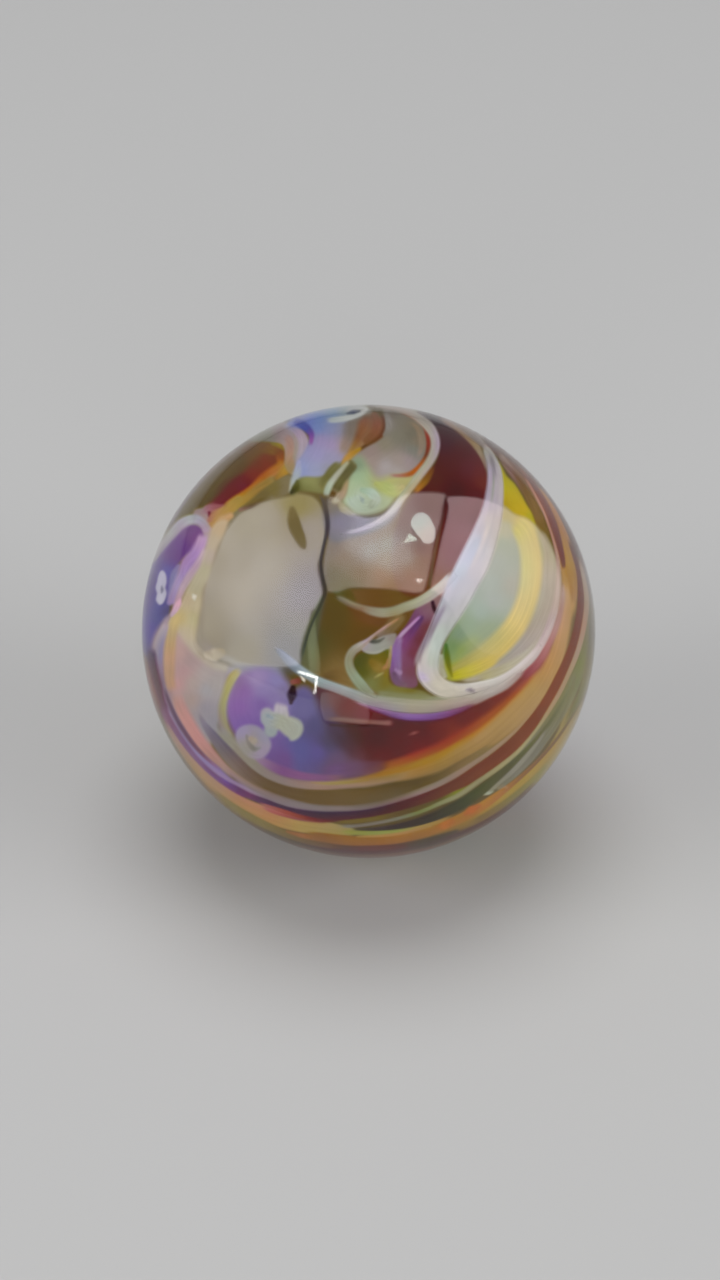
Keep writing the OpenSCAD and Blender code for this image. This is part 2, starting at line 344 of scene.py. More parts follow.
GROUND_STROKES = [
    dict(blur=1.6, tone=1.0, vivid=0.92),
    ("brown ground", 20, "300,480 470,480 480,560 440,620 400,700 330,700 290,640",
     "335,620,5a4a28 366,612,6c4828 365,640,604820 345,676,7e663c 308,640,54502e 400,590,6c4e2a "
     "350,595,5c5028 350,540,64492a"),
    # Where the glass mirrors the left soft box, the ground left, the pale foot of the ground and the edge of
    # the ground are painted paler than the glass's own brown. Part of that box's reflection is painted into
    # them, and the box's darker rim runs along the edge.
    ("ground left", 8, "200,500 320,490 324,560 322,600 300,668 250,672 200,655 194,600 200,550",
     "215,540,8c8068 260,560,7c7056 235,600,8c806a 300,520,6a5a30 310,600,5c5054 205,630,8e8268 "
     "290,650,5a5650 240,650,867c66 250,525,7c7050"),
    ("pale foot of the ground", 8,
     "188,631,10 193,648,11 205,662,12 227,669,14 250,673,14 270,673.5,12 288,672,10",
     "a89c84 a0968a a49c90 a4a09c 9896a2 8c8a9c 84848c"),
    ("edge of the ground", 6, "218,541,5 211,556,7 206,570,8 202,586,8 199.5,604,8 198.5,622,8 200,637,8 "
     "208,649,8 222,659,8 240,665,8",
     "94846c 90806a 8c7c68 8c7c64 8a7a60 86785e 887c64 8c8070 908878 949088"),
    ("green edge of the ground", 5, "322,598,4 314,622,8 309,645,12 309,668,14",
     "50523c 56583c 5c6044 646444"),
    # Painted reflection: the dark gap between the left and the centre soft box, as the glass mirrors it,
    # painted onto the swirl.
    ("dark seam", 2.5, "318,492,2.4 323.5,503,2.8 326.5,518,2.8 326,533,2.8 323,548,2.8 320.5,563,2.8 "
     "322.5,578,2.8 325,592,3 321,604,2.4 315,617,2.4 309,631,2.4 304.5,646,2.4 301,662,2",
     "6c5c44 585048 4c484a 484446 443e40 443e3c 403c3a 443e36 44443a 40443a 404438 444840 54584c"),
    ("umber ground", 4, "352,597,12 375,596,14 400,596,12 425,588,8", "6e5230 6a4c28 6a5028 5c4420"),
    ("olive edge", 4, "335,592,3 346,594,8 353,600,5", "5c5c38 5c5028 605028"),
    ("umber under the line", 5, "350,607,5 368,617,10 385,622,8 398,620,4", "644626 6e4a2c 6a482a 806848"),
    ("tan foot of the ground", 7, "326,678,6 340,676,14 352,682,14 360,690,6",
     "6a5432 7c6238 80683e 7c7448"),
]

OXBLOOD_BAND = [
    dict(blur=1.5, tone=1.0, vivid=1.06),
    ("oxblood band", 4, "318,688 340,694 368,703 395,715 420,720 444,718 466,709 484,698 503,688 520,674 "
     "535,660 545,646 550,656 541,670 528,684 512,702 492,718 468,733 444,748 420,758 398,765 372,770 "
     "350,772 338,756 328,728 318,706",
     "322,700,584248 335,698,663c38 350,706,6a3632 366,712,6c3438 372,712,5c1e22 395,722,4c2024 "
     "335,735,46383e 355,735,4a302c 378,735,482020 400,740,562024 420,730,562424 360,760,5a2e2e "
     "385,757,5e2a26 440,728,64281e 460,718,60261f 480,705,62302a 480,715,6c2f28 500,700,72352c "
     "520,684,7a3e34 535,668,8c4c4c 420,748,662420 455,732,76301e"),
    ("pink fleck", 1.5, "409,735,1.6 414,733,2.8 420,731.5,1.6", "703c3c 8c5450 703838"),
    dict(blur=1.5, tone=1.0, vivid=1.16),
    ("orange lower edge", 5, "352,773,3 372,771,6 390,766,8 405,761,8 422,755,9 440,748,10 458,738,11 "
     "478,726,11 496,713,10 514,698,9 528,682,7 540,666,5",
     "704044 744038 82481e 843e1c 862c18 84301c 80301c 7e321e 83401f 88482c 8c4a34 8c4c44 a06458",
     "84605a 8a6650 94682c 94601a 945c18 94601a 984e14 985a1a a0642a a0682c a4702e a8703c a8745c"),
    ("gold edge", 4.5, "345,780,3 362,779,5 382,775,6 402,770,6 420,764,6 440,756,6 458,746,6 478,734,6 "
     "498,719,6 516,702,6 530,687,5 543,668,4",
     "8c6860 94703c 946c2c 96702c 9a782c 9c7620 a07a2c a07030 a4743a a87a40 a07a3c a87c58"),
    ("base of the right strips", 4, "548,500,6 556,522,10 562,545,12 567,570,12 569,595,12 568,620,14",
     "94704c 946040 9c7044 a07c48 a48454 ac8c60"),
    ("tan band", 5, "380,779,3 400,777,6 420,772,8 440,765,12 460,755,15 480,744,17 500,729,20 520,711,22 "
     "538,692,22 551,670,18 559,648,14 564,622,13 568,596,11 569,580,5",
     "a08450 a0845c a07a40 a08040 a48650 a5875c a68a5c a88a5c a88a58 ac8454 b08a60 bc9478 b89c84 a88450",
     "98784c 927650 8a7048 86704a 8a724c 92784e 9a8058 a08660 a48a64 a88a60 ac8c64 ac8c64 a88450 a88450"),
    ("mauve between the patch and the band", 16, "320,700,12 327,724,22 337,743,26 351,757,22 368,767,12",
     "5c4c64 504458 4c3c46 563a40 6c444c", "", 0.8),
    ("reddish hem of the light", 3, "322,718,3 345,720,4 368,722,4 384,723,4 396,722,5",
     "6e5854 745a54 7c5850 84605a 8c5a58"),
    ("dark below the hem", 3, "330,725,2 352,726,3 372,726,3 384,726,2", "46383a 46302a 401f1c 4c2420"),
    ("wine edge", 3, "368,707,2 384,715,4 400,719,4 425,721,4 450,717,3 470,709,3",
     "5c181e 54181c 481c28 4c1e28 5a2028 5a2824"),
]

LOWER_LEFT = [
    dict(blur=1.6, tone=1.0, vivid=0.95),
    ("violet patch", 7, "226,700 228,688 236,678 248,672 262,669 276,673 288,682 292,692 304,688 312,694 "
     "313,706 314,724 316,742 318,758 318,772 312,779 300,778 282,772 264,762 248,748 234,732 227,716",
     "236,684,8a6c94 244,692,8a62a0 258,680,9c88b0 264,690,8c7cac 277,682,8a82b0 275,698,8474a4 "
     "284,690,807496 240,708,865ea0 262,705,7a5c9c 244,724,7c5ca0 262,728,74589a 300,702,666094 "
     "312,712,6e648c 300,746,5e5a98 318,752,605490 286,762,6c4c84 310,770,7a4e7e 338,766,6a4c76 "
     "328,730,544c70 345,752,5a4454"),
    ("violet right", 9, "298,696 311,697 319,710 324,726 333,742 348,756 362,768 352,778 320,779 296,772",
     "306,712,6c6492 314,724,565078 318,752,605490 336,764,6a5270 352,770,6a4a54 328,742,50465e "
     "302,750,5e5a94"),
    ("mauve foot of the patch", 10, "318,772,6 338,771,12 356,769,14 374,767,10 392,762,5",
     "6c4a74 70507c 6c4c68 6c4450 703c38", "", 0.8),
    ("pale base of the strip", 5, "236,668,10 227,680,14 220,696,15 218,714,15 222,730,12",
     "a098a8 9c9094 989090 949094 8c8a90"),
    ("yellow olive strip", 5,
     "242,668,4 233,677,6.5 226,690,6.5 222,704,6.5 222,718,6.5 226,731,7 234,743,6",
     "b0a874 b4ac78 a8a264 a09c68 9c9668 98906c 949070", "b0a074 b0a060 a49a60 98906c 908078 8c7c84 908880"),
    ("beige hem", 4, "216,728,6 226,740,12 238,750,14 252,763,13 266,773,10 284,781,8 302,785,8 322,785.5,8 "
     "345,784,7 368,782,7 388,779,6 408,774,5",
     "8e8a90 8c8878 8e8676 8c8474 8c7c76 8a7674 94786c 9a8068 9a7e58 98743e 98783c 98783c",
     "8e8a90 888474 8a8070 8c8474 8a7c74 8c7c74 947e74 a08070 a08274 9c8068 94785c 907850"),
    ("gold in the hem", 2, "312,782.5,1.5 328,783.5,2.4 348,782.5,2.4 368,780,2",
     "9c805c a08c50 9c8844 98783c"),
    ("mauve over the hem", 5, "250,752,3 264,762,6 282,771,7 302,776,6 325,778,5 350,777,4",
     "907c90 8c6c8c 7c4e80 845480 80567c 866058"),
    # Painted reflections: the ring with its shade and heart, and the lobes after it, are pale lamp
    # highlights painted onto the swirl.
    ("ring", 3, "237,738 240,729 250,726 260,729 268,738 270,747 264,756 254,758 244,752",
     "253,742,9c9088 243,732,988cac 264,736,928ea4 262,753,9c8ca4 246,748,908c80"),
    ("ring shade", 3, "247,736,2.5 249,743,3.5 254,749,4 260,748,2.5", "8c8484 847c74 7c7870 8c8a8c"),
    ("ring heart", 3, "251,739,4 254,741,5", "a49484 a49888"),
    ("lobe a", 3, "267,714,10 272,722,14 271,731,11", "a09ca4 a0a09c 949c9c"),
    ("lobe b", 3, "283,701,9 281,711,12 284,722,14 295,727,14 292,733,14 286,735,8",
     "b8acb4 b0a8b0 a8a898 a4a89c a8ac9c a4a89c"),
    ("lobe join", 3, "268,719,12 280,722,12 290,730,12", "989ea0 a0a290 a4a698"),
    ("lobe notch", 3, "268,716,3 272,718,3", "88949c 909aa0"),
    ("dark speck", 3, "291,703,3 292,695,7 293,688,4", "40303c 362838 2c1418"),
    ("red speck", 3, "293,682,4 298,681,5", "8c5048 7c4438"),
]

TOP_LEFT = [
    dict(blur=1.3, tone=1.0, vivid=1.05, gloss=0.022),
    ("olive lens", 3, "176,516 182,505 195,488 212,470 230,455 246,444 262,440 276,440 284,446 282,460 "
     "262,470 240,482 222,494 208,504 192,509",
     "185,508,5a4e2c 205,490,564722 222,470,584824 235,466,5c4424 248,450,684a2c 262,445,6c5028 "
     "225,485,5a3c26"),
    ("oxblood wedge", 7, "211,506 222,493 232,482 245,472 254,462 264,454 276,449 282,452 280,462 270,474 "
     "259,483 247,492.5 236,500 225,507",
     "219,502,70383e 232,494,6c3436 243,487,682c34 255,474,7c3c32 256,464,6e4230 265,466,7a3a2e "
     "272,458,6e361c"),
    ("brown tip", 5, "262,447,8 272,449,10 279,452,8 280,460,6", "6e4c28 765018 744010 8a4a18"),
    ("yellow tip", 4, "273,443,4 279,444,6 283,448,4", "7c6c1c 8a7418 84681c"),
    ("orange border", 4,
     "222,510,5 234,502,7 245,494.5,7 255,487,7 264,478.5,8 272,472.5,8 280,466,7 283,458,5",
     "b08050 b08440 a47038 ac7040 a46038 a86a40 a4703c a06a30",
     "b09058 b08c48 ac8844 a8844c a87844 b07c50 b08450 b07c50"),
    ("yellow olive border", 5, "226,512,5 236,505,7 247,499,7 258,490,7 268,483,7 278,476,5",
     "a8946c a48c50 a0844c 987c4c 947c4c 988860"),
    ("gold at the turn", 4, "278,478,5 284,472,7 288,466,6 289,458,4", "a07c48 b08a48 ac9450 a88c60"),
    ("tan olive", 3, "240,510 252,500 264,490 276,482 288,476 292,482 288,492 276,497 262,502 250,507",
     "250,503,7a6a46 262,495,76694a 275,488,7c7048 287,482,857a60 284,492,807660"),
    ("dark under tan", 3, "240,510,3 250,507,4 262,501,4 272,497,3", "8c7064 6c5a48 6e6040 80765c"),
    ("pinkish shoulder", 3,
     "250,440 262,431 276,425 288,424 300,433 303,448 299,463 292,474 286,466 285,450 280,443 266,441",
     "257,437,7c7868 268,434,808070 278,431,8f7c80 285,437,a49090 287,448,ac9688 292,430,a098a4 "
     "298,450,a89898 288,470,a08c68"),
    ("peach arc", 4, "284,434,4 289,441,6 291,450,7 289,460,7 286,468,4",
     "a08480 ac8a7c b08c7c ac8c70 a88e68", "", 0.75),
    ("grey arc", 4, "290,428,3 295,436,4 297,446,5 295,458,4", "a098a0 a49490 a89c94 a09484"),
    ("lilac white arc", 3.5, "281,426,3 291,427,5 299,433,7 303,441,8 303,450,8 299,460,6 296,470,3",
     "a0a0b0 a098b0 b09cb0 b4a4b0 b0a4b0 a8a0a8 9898a0"),
    dict(blur=1.1, tone=0.9, vivid=1.1, gloss=0.04),
    ("tip of the lens", 3, "198,499,8 189,506,9 181,513,6 175,519,3", "5c4a22 5c4c26 605234 685c44"),
    ("olive limb", 4,
     "limb -152,0.968,5 -147,0.958,11 -141,0.957,13 -135,0.957,13 -129,0.957,12 -124,0.96,8",
     "5c5028 5c4e1c 5c4a18 5c4a18 5e481c 604e30"),
    ("limb line", 2.5, "limb -154,0.99,2 -149,0.99,3 -142,0.99,3.4 -134,0.99,3.4 -127,0.99,3 -120,0.99,2",
     "746468 7c7074 7c7070 806c64 807068 6c6458"),
    dict(blur=1.3, tone=1.0, vivid=1.05, gloss=0.022),
    ("base of the joint", 6, "198,514,8 205,520,14 209,530,14 208,541,10", "a08c8c a8908c b09c98 b09ca8"),
    ("pink blob", 5, "203,512,4 208,510,8 214,509,8 222,507,4", "a08488 a07078 9c6468 945c60"),
    ("dark dot", 2.5, "209,513,2.5 210.5,516,4 212,518,2.5", "703440 6c303c 783c44"),
    ("salmon blob", 5, "209,521,4 215,516,7.5 223,512,6.5 230,509,4", "ac7c6c b08464 b48c60 b49860"),
    ("gold over the joint", 7, "213,525,5 221,517,9 230,508,9 238,500,6", "b48c60 b49060 ac8e54 a08850"),
    ("gold foot", 4, "210,524,3 215,525,6 222,521,7 230,516,5", "b08a60 b89058 c0a078 c09c74"),
]

LEFT_SIDE = [
    dict(blur=1.5, tone=1.0, vivid=1.02, gloss=0.016),
    ("violet lens", 3, "158,556 170,541 180,530 190,525.5 199,528 202,535 198,543 190,551 181,559 175,568 "
     "171,580 169,600 167,617 160,628 156,640 155,656 147,658 142,640 141,615 145,590 150,572",
     "190,532,7c5c88 180,546,704c88 195,538,7c5484 167,556,6a4882 178,557,6c4880 159,568,584484 "
     "166,572,605ca0 150,580,54407c 157,608,545090 147,604,584484 158,618,50508c 166,614,52486e "
     "148,628,544490 153,640,524690 150,652,4c3c70"),
    dict(blur=1.5, tone=1.01, vivid=1.0),
    ("base of the left strips", 5,
     "173,612,4 167,626,11 162,642,17 161,662,18 163,684,16 171,707,14 185,732,12 200,754,10 216,770,8",
     "9c88a0 98848c 9c8488 98807c 94787c 8c747c 88707c 847484 84747c"),
    # Painted reflection: a pale lamp highlight with a dark middle on the violet lens, painted onto the
    # swirl.
    ("pale frit on the lens", 2, "159,577 161.5,572 164.5,575 165.3,582 164.2,588 165.4,594 163,601 160,604 "
     "157,600 158,594 156.6,588 158,582", "161,580,b0acc0 160,598,b8b4c4 163,590,a8a4b8"),
    ("hollow of the frit", 1.5, "161.5,587,1.6 162,590,2.6 161.5,593,1.6", "7c7890 6c6880 7c7890"),
    ("arch", 3, "152,566,2 157,555,4 163,545,6 171,535,7 180,525,8 190,520,8 199,521,7 205,527,6 207,535,6",
     "7c7478 988c90 a09498 a0a09c a098a8 a4a8a8 a8a4b0 a8989c b098ac",
     "70687c 8c8490 98909c a098a0 a898a8 b0b0b4 a89cb0 a890a8 b898b8"),
    ("grey blue by the lens", 4, "178,566,3 174,576,6 172,590,6 169,603,4", "7c6c98 78729c 74709c 7c6ca0"),
    ("lilac strip", 3.5,
     "204,532,6 201,543,9 196,554,11 188,564,12 184,576,12 178,588,10 173,599,7 170,608,4",
     "b898b8 b492b8 a884b8 9c80b4 9880b4 9080b0 8c78a8 9078a8",
     "c0a0bc b490b4 a484b4 a884b0 a088b0 a08cae 9880a4 9878a0"),
    ("pink edge", 4, "206,545,4 203,556,6 197,567,7 190,577,7 183,588,6 178,600,5 174,611,4 168,620,3",
     "c0a4b4 b8a0ac b094a8 b098a4 b49ca8 b08c98 b890a4 a890a8"),
    ("cream side", 4, "214,526 226,522 222,536 216,548 212,562 208,576 202,590 200,606 197,622 195,642 "
     "202,653 212,662 226,667 222,674 208,668 196,660 184,650 174,640 168,632 171,620 180,606 186,592 "
     "194,578 201,566 206,550",
     "220,528,c0a888 214,545,b8a890 210,556,b4a498 205,572,b0a88c 199,580,b2a88e 195,590,aca488 "
     "188,599,b8a488 196,606,bcae90 181,618,bca670 193,620,b4ab84 188,634,b8aa8c 180,640,b4a094 "
     "193,648,b0a492 202,655,a49886 207,663,b0a494 220,669,b0a89a"),
    ("cream spark", 2, "193,595,2 194,597,4 194.5,600,2", "c8c4b0 d8d0c0 c8c4b0"),
    ("pink spark", 3, "180,600,2.5 178.5,604,4.5 175,611,4 172,616,2.5", "c89cac d0a0b0 c4a0b4 b098ac"),
    ("salmon side", 5, "172,632 184,645 196,658 212,670 224,674 222,690 217,706 216,722 222,734 232,748 "
     "214,738 206,760 196,742 184,722 174,700 169,676 168,652",
     "177,655,b4938c 184,672,b08c8c 178,684,b88c8a 192,662,a08a88 193,684,a89890 205,674,a89c98 "
     "206,690,9c9a9e 215,684,a49c98 192,700,a08c84 206,708,908a92 212,724,8e8a92 224,740,8c8878"),
    ("salmon strip", 6, "176,690,6 180,706,9.5 187,721,11 198,739,10.5 213,756,8 226,769,6 240,779,4.5",
     "b48e88 b88a84 bb8680 bc8480 b08078 a08074 947c6c", "b48e84 b48478 bb847c b88078 a87c70 987c70 947c6c"),
    ("gold strip", 5, "180,612,4 174,624,7 171,638,8 169.5,652,9 169,668,9 169.5,682,8 174,694,6",
     "c0a870 c0a870 b49c70 b49468 b89070 b08c6c b48c6c b88c78"),
    ("lilac line", 3, "168,621,4 163,632,6 159,644,7 158,656,7 158.5,668,7 161,682,6 165,698,6 172,715,6 "
     "181,731,6 190,745,6 203,760,6 218,772,6 232,783,6 250,792,8 270,800,8 285,805,7",
     "b098b0 9c90a0 807898 7c7498 846c84 7c6478 84748c 847494 85789a 80769c 7f70a0 806aa0 8a6e98 907890 "
     "84767c 80747a",
     "b8a0a8 a89ca0 a09298 94848c 90808c 846c78 8c7888 8c8098 8c80a0 887ca0 8a7ca0 9880a0 948098 907c8c "
     "8a7c80 847878"),
    ("dark by the strip", 3, "163,684,2 168,700,3 177,720,3.5 190,740,3.5 201,753,3 213,764,2.5 224,772,2",
     "6c5468 5a3a50 583a56 643c54 6a3c50 84587c 80609c"),
    dict(blur=1.2, tone=1.0, vivid=1.05, gloss=0.03),
    ("plum limb", 4, "153,646,4 151,660,8 153,674,9 157,688,8 161,701,6 168,718,6",
     "504468 50384c 481c2c 4c202c 583040 6a4060"),
    ("red brown limb", 3.5, "142,650,3 145,664,5 148,678,6 152,692,6 157,706,6 163,720,4",
     "70585a 745c50 7c5450 7c5048 6c4840 6e5848"),
    ("outer violet band", 3,
     "160,702,4 168,720,6 180,741,7 193,759,8 208,774,8 222,784,7 238,792,6 252,798,4",
     "6a4060 7c4c6c 785078 7c5880 76507c 6e4a7c 6e3c68 70406c"),
]

RIGHT_SIDE = [
    dict(blur=1.2, tone=1.0, vivid=1.05, grow=0.8),
    dict(blur=0.8, tone=0.94, vivid=1.14, grow=0.5, gloss=0.04),
    ("outer brown side", 3, "482,444 500,449 518,462 534,478 548,494 560,512 569,530 576,552 572,574 "
     "566,574 560,548 550,522 536,498 520,478 500,458",
     "492,450,74605c 505,455,705850 520,468,785448 534,482,8c6048 548,498,a06e4c 560,522,a07044 "
     "568,540,a07838 568,560,a8803c"),
    ("limb tone", 3,
     "limb -62,0.985,7 -54,0.985,9 -46,0.986,8 -38,0.99,6 -30,0.992,5 -22,0.99,5 -14,0.987,7 -6,0.984,8",
     "5c4c4c 604840 604438 644840 5c4440 64504c 786860 746860"),
    ("tan limb thread", 2.5, "limb -43,0.983,1.6 -38,0.98,3 -33,0.975,4 -28,0.97,4",
     "846048 a0743c a87444 a87c44"),
    ("brown limb thread", 2, "limb -55,0.972,1.6 -49,0.975,2.4 -44,0.981,2.4 -40,0.986,1.6",
     "6c5048 6c4838 643c2c 644838"),
    ("mustard", 5, "497,462 501,467 506,476 514,484 521,495 527,506 534,516 534,526 525,521 512,515 503,508 "
     "501,496 501,480 498,466",
     "498,460,a0a048 503,473,b0a838 507,485,b4a82c 513,497,b8a428 522,508,c0a61c 531,518,a8a018 "
     "505,506,a89024 518,515,b49c20"),
    dict(blur=0.9, tone=1.0, vivid=1.06, grow=0.5, gloss=0.028),
    ("mauve beside mustard", 3.5, "497,451,3 504,461,6 512,472,7 521,484,7 529,497,6 535,510,4",
     "90807c 8c7468 8c7068 84685c 7c6454 7c644c"),
    ("olive brown beside", 4,
     "510,463,3 518,476,6 526,490,8 533,503,9 539,517,10 544,530,9 549,543,6 553,554,3",
     "846458 80624c 7e6444 846a48 846a48 786238 746440 80705c"),
    ("brown thread", 2.5, "516,463,2 528,479,3 539,496,3 548,515,3 553,532,3",
     "84604c 7c4c38 84543c 8c5c44 7c5440"),
    ("orange strip", 3,
     "limb -35,0.972,2 -31,0.965,5 -27,0.957,8 -23,0.949,10 -19,0.94,11 -15,0.93,10 -11,0.92,7 -7,0.911,3",
     "9c6c3c a06c3c a06c38 986c2c 94702c 9c7844 a07c54 a48464",
     "9c6c3c a07444 a07440 a47c38 a88038 a47c44 a47c4c a48464"),
    ("red brown strip", 2, "limb -46,0.98,2 -42,0.972,3.6 -38,0.963,5.4 -34,0.953,6 -30,0.942,6 "
     "-26,0.928,5.8 -22,0.916,5 -19.5,0.909,4 -17.5,0.903,2.4",
     "5c2c18 602814 682814 642408 601c08 5c2004 601804 602804 744424",
     "5c2c18 602814 702814 6c2808 682008 642404 601c04 602c04 744424"),
    ("dark outer thread", 2, "limb -33,0.99,1.6 -28,0.984,2.4 -24,0.979,2.4 -20,0.973,2.6",
     "5c4038 503428 4c2c18 4c240c"),
    dict(blur=1.2, tone=1.0, vivid=1.05, grow=0.8),
    ("crescent base", 4, "502,506 514,513 530,520 545,538 556,560 560,590 552,615 540,634 520,652 500,662 "
     "470,676 450,680 444,668 444,650 456,624 474,590 490,556 498,530",
     "506,514,b0a070 520,520,c0a868 506,530,a8a48c 543,545,a09878 548,575,a89c84 540,620,aca090 "
     "520,640,b0a48c 495,660,b0a88c 470,672,a8a070 452,670,98983c 452,645,74906c 480,600,9ca69c"),
    ("crescent right", 4, "538,528,4 545,540,6 549,556,8 549,575,14 548,594,18 542,614,20 534,632,18 "
     "522,648,16 508,660,14 492,670,10 474,677,7 456,680,4",
     "988c6c a09478 a89c80 b0a090 b0a090 b0a094 aca098 aca098 a89c90 b0a698 b0a898 a8a088",
     "a89878 b0a088 a89880 a89c8c a8a090 a8a08c a49888 a49c94 a09c90 a8a090 a89e88 a09c7c"),
    ("crescent green", 9, "500,522 512,530 520,550 518,580 512,606 500,626 484,640 466,650 452,662 445,652 "
     "450,636 463,618 474,596 484,574 493,552 498,536",
     "506,530,b0a890 503,545,9ca090 498,565,9ca094 492,582,a0a69c 495,600,a0a49c 480,612,98a498 "
     "470,625,8c9c84 512,585,a8a498 486,630,94a084 460,634,7e907a 453,647,70885c 472,645,98a070 "
     "462,652,8c9858"),
    ("yellow of the crescent", 6, "512,520,12 523,529,19 529,545,19 531.5,565,19 530,585,19 525,605,19 "
     "516,624,20 502,641,21 486,655,20 470,665,16 456,672,11 449,674,6",
     "c4b468 c8b470 ccb478 d0b87c d0b87c ccb87c d4bc7c ccb46c c8b068 b8a858 a8a044 9c983c",
     "c0b060 c4b868 c8bc80 c4bc80 c4bc88 ccb880 ccb878 b8b078 b0a870 a49c60 a09858 a09c50"),
    ("pale foot of the crescent", 4, "550,622,6 541,640,9 528,655,10 512,666,10 494,674,9 474,680,7",
     "aca094 b0a498 b0a898 b0a890 aca484 a8a070"),
    ("deep yellow foot", 5, "500,656,6 485,664,10 470,671,10 457,675,7 450,677,3",
     "ccb468 c4b060 bcb050 b0a838 a8a038"),
    ("lichen edge", 3, "446,645,3 447,656,5 449,666,4 452,676,2", "4c6c38 5c6828 6a6a20 84802c"),
    ("grey by the bend", 4, "441,656,4 441,667,6 445,676,4", "a0a48c a09c84 a8a48c"),
    ("pink line of the rim", 2.5, "523.5,476,1.4 530,486,2 537,499,2.2 544,513,2.2 549,527,2.2 "
     "553.8,542,2.4 557,556,3.2 558.5,572,4 558,588,5 556,604,6 551.5,621,7 545,638,7 536,652,6.5 "
     "524,664,6.5 510,674,6",
     "a87c68 b07c6c b88878 c09080 b88474 b88878 b09080 b8a090 c0aca0 c0aca0 c0b0ac c4b4b0 d0c0bc d0c8c0 "
     "ccc4bc",
     "a07060 a87060 b08070 b88878 b07c6c ac8070 a8887c b49c90 b8a498 b8a498 b8a4a0 b8a4a4 c4b4b0 c0b0ac "
     "b8aca4"),
    ("mauve outside the line", 4,
     "562,578,2.5 562.5,594,4 561,609,4.5 556,627,5 549.5,643,5.5 541,658,6 530,670,6.5 518,681,5",
     "b09484 b09488 a88478 ac8680 a87470 a06464 904c50 7c3c3c"),
]

TOP_SIDE = [
    dict(blur=1.5, tone=1.05, vivid=1.0),
    ("blue sky", 3, "288,424 300,417 318,411 338,407.5 352,407 366,408 372,416 368,432 358,447 346,460 "
     "334,471 322,479 306,481 297,478 298,464 305,452 310,440 308,430",
     "300,419,6870b0 308,421,6070c0 318,416,5a7ab8 331,411,7090b0 345,410,8c9ea4 356,409,98988c "
     "318,427,6c84bc 330,427,8088b0 342,430,8888a0 320,440,9a88b0 332,444,9c88ac 344,444,a0887c "
     "318,455,9690b8 330,458,9490ac 302,470,8890b8 316,470,9094b0 328,470,8c8c94 360,420,7e7058 "
     "352,432,7e6c5c"),
    ("deep blue arc", 2.5, "291,420.5,2 296,422,5 302,425,6 307,429,6 310.5,434,5 311,440,3.5 309.5,447,3",
     "5a64a8 444ca4 3c4aa0 44489c 6a4494 8a5098 8a68a0"),
    ("pale blue strip", 3, "299,462,3 297,472,6 294,482,6 291,491,4", "9898b8 98a0b0 a0a8a4 a0a08c"),
    ("olive shelf", 3,
     "297,482 304,478 318,478 330,474 338,466 344,462 344,472 336,484 326,492 312,491 300,490 292,494",
     "296,487,4c4a22 306,482,8a8c5a 312,482,8c8c58 308,488,6e6c40 322,482,747048 330,478,6c6844 "
     "340,468,706c48"),
    ("pit", 2.5, "297,482,3 295,488,5 291.5,492.5,3.5", "5c5c34 4c4a20 3a361c"),
    ("copper haze", 14, "352,413,8 356,422,20 354,434,20 348,446,12 340,456,6",
     "787068 74685c 786c60 887468 90806c", "", 0.8),
    ("copper", 6, "368,411,8 370,420,18 368,430,20 362,440,14 355,450,9 348,459,6",
     "74583c 7c6048 846448 8c7058 9c7a50 a88040", "6c5840 845038 84502f 7c4a28 906c34 a87c38"),
    ("dark copper edge", 3, "381,412,2 383.5,420,4 384,428,4 380,436,5 372,442.5,5 364,447.5,4 357,452,3",
     "6c4c3c 643a26 5c3420 6a3c20 64401c 5c3c1c 8c6824"),
    ("copper ridge", 6, "374,415,5 377,424,8 374,433,7 366,441,5", "7c543c 84503a 805034 785030"),
    ("top glint", 2, "324,420.5,3 334,420,4.5 345,418.5,4.5 355,416,4 362,412.5,4 366,409,3 358,407.8,2.5 "
     "350,409,2.5 343,412,2.5", "9ca4b0 acb4b4 b8bcb8 b8bcb8 c0c0bc b8b8b0 acb0b0 a8acac 9ca0a8"),
    ("glint hollow", 2, "347,413.5,2 353,412,3.4 359,411,2", "5c6470 444c64 5c6068"),
    ("gold ridge", 3, "359,449,3 353,454,5 347,459,6 342,465,3", "a07c28 a87c30 b08440 a08048"),
]

WINE_WEDGE = [
    dict(blur=1.2, tone=0.96, vivid=0.92),
    ("wine wedge", 4, "424,415 438,418 450,426 462,435 472,445 480,457 485,470 487,484 484,500 478,518 "
     "468,540 456,562 444,580 430,594 420,596 400,590 392,560 396,530 408,504 420,488 430,474 438,458 "
     "440,440 436,428",
     "430,419,3c2a2c 445,428,4a2a30 446,442,4e2a32 460,450,582a2c 450,465,5a2c2c 470,468,5e2e34 "
     "478,470,6c3030 483,482,70342c 455,493,4a1e20 474,497,5a1e28 436,478,5a2e22 432,500,5a2c20 "
     "465,515,5c2428 455,550,60282a 430,560,683828 410,530,5a3c30 425,585,6c4024 404,560,684a30"),
    ("dark cap", 3, "418,413,2 427,417,5 436,422,6 446,427,4", "4c3434 3c2a2c 3e282e 4c2c34"),
    ("tan line of the wedge", 3,
     "436,417,2 447,422,4 457,428,5 466,435,5.5 474,443,5.5 480,453,4 484.5,463,3 487,473,2",
     "5c4840 8c6858 907054 a08060 a0845c a08c70 947868 7c5c54"),
    ("outside of the tan line", 3, "450,419,2 462,427,5 474,436,6 484,446,4", "706054 806858 7c6c64 94847c"),
    ("gold by the loop", 4, "434,464,3 430,472,5 425,480,6 419,487,5 413,494,4",
     "6c3c24 7c4c24 8c6024 a87030 b07840"),
    # Painted reflection: the dark gap between the centre and the right soft box, as the glass mirrors it,
    # painted onto the swirl.
    ("seam of the light", 2.5, "444,494,3 445,503,3 443.5,514,2.6 440.5,526,2.4 437.5,538,2.6 435,550,2.6 "
     "432.5,564,2.6 430.5,578,2.6 428,592,2.6",
     "482424 4c2826 563230 603c36 70503e 745440 705440 6c5640 5c4a30"),
]

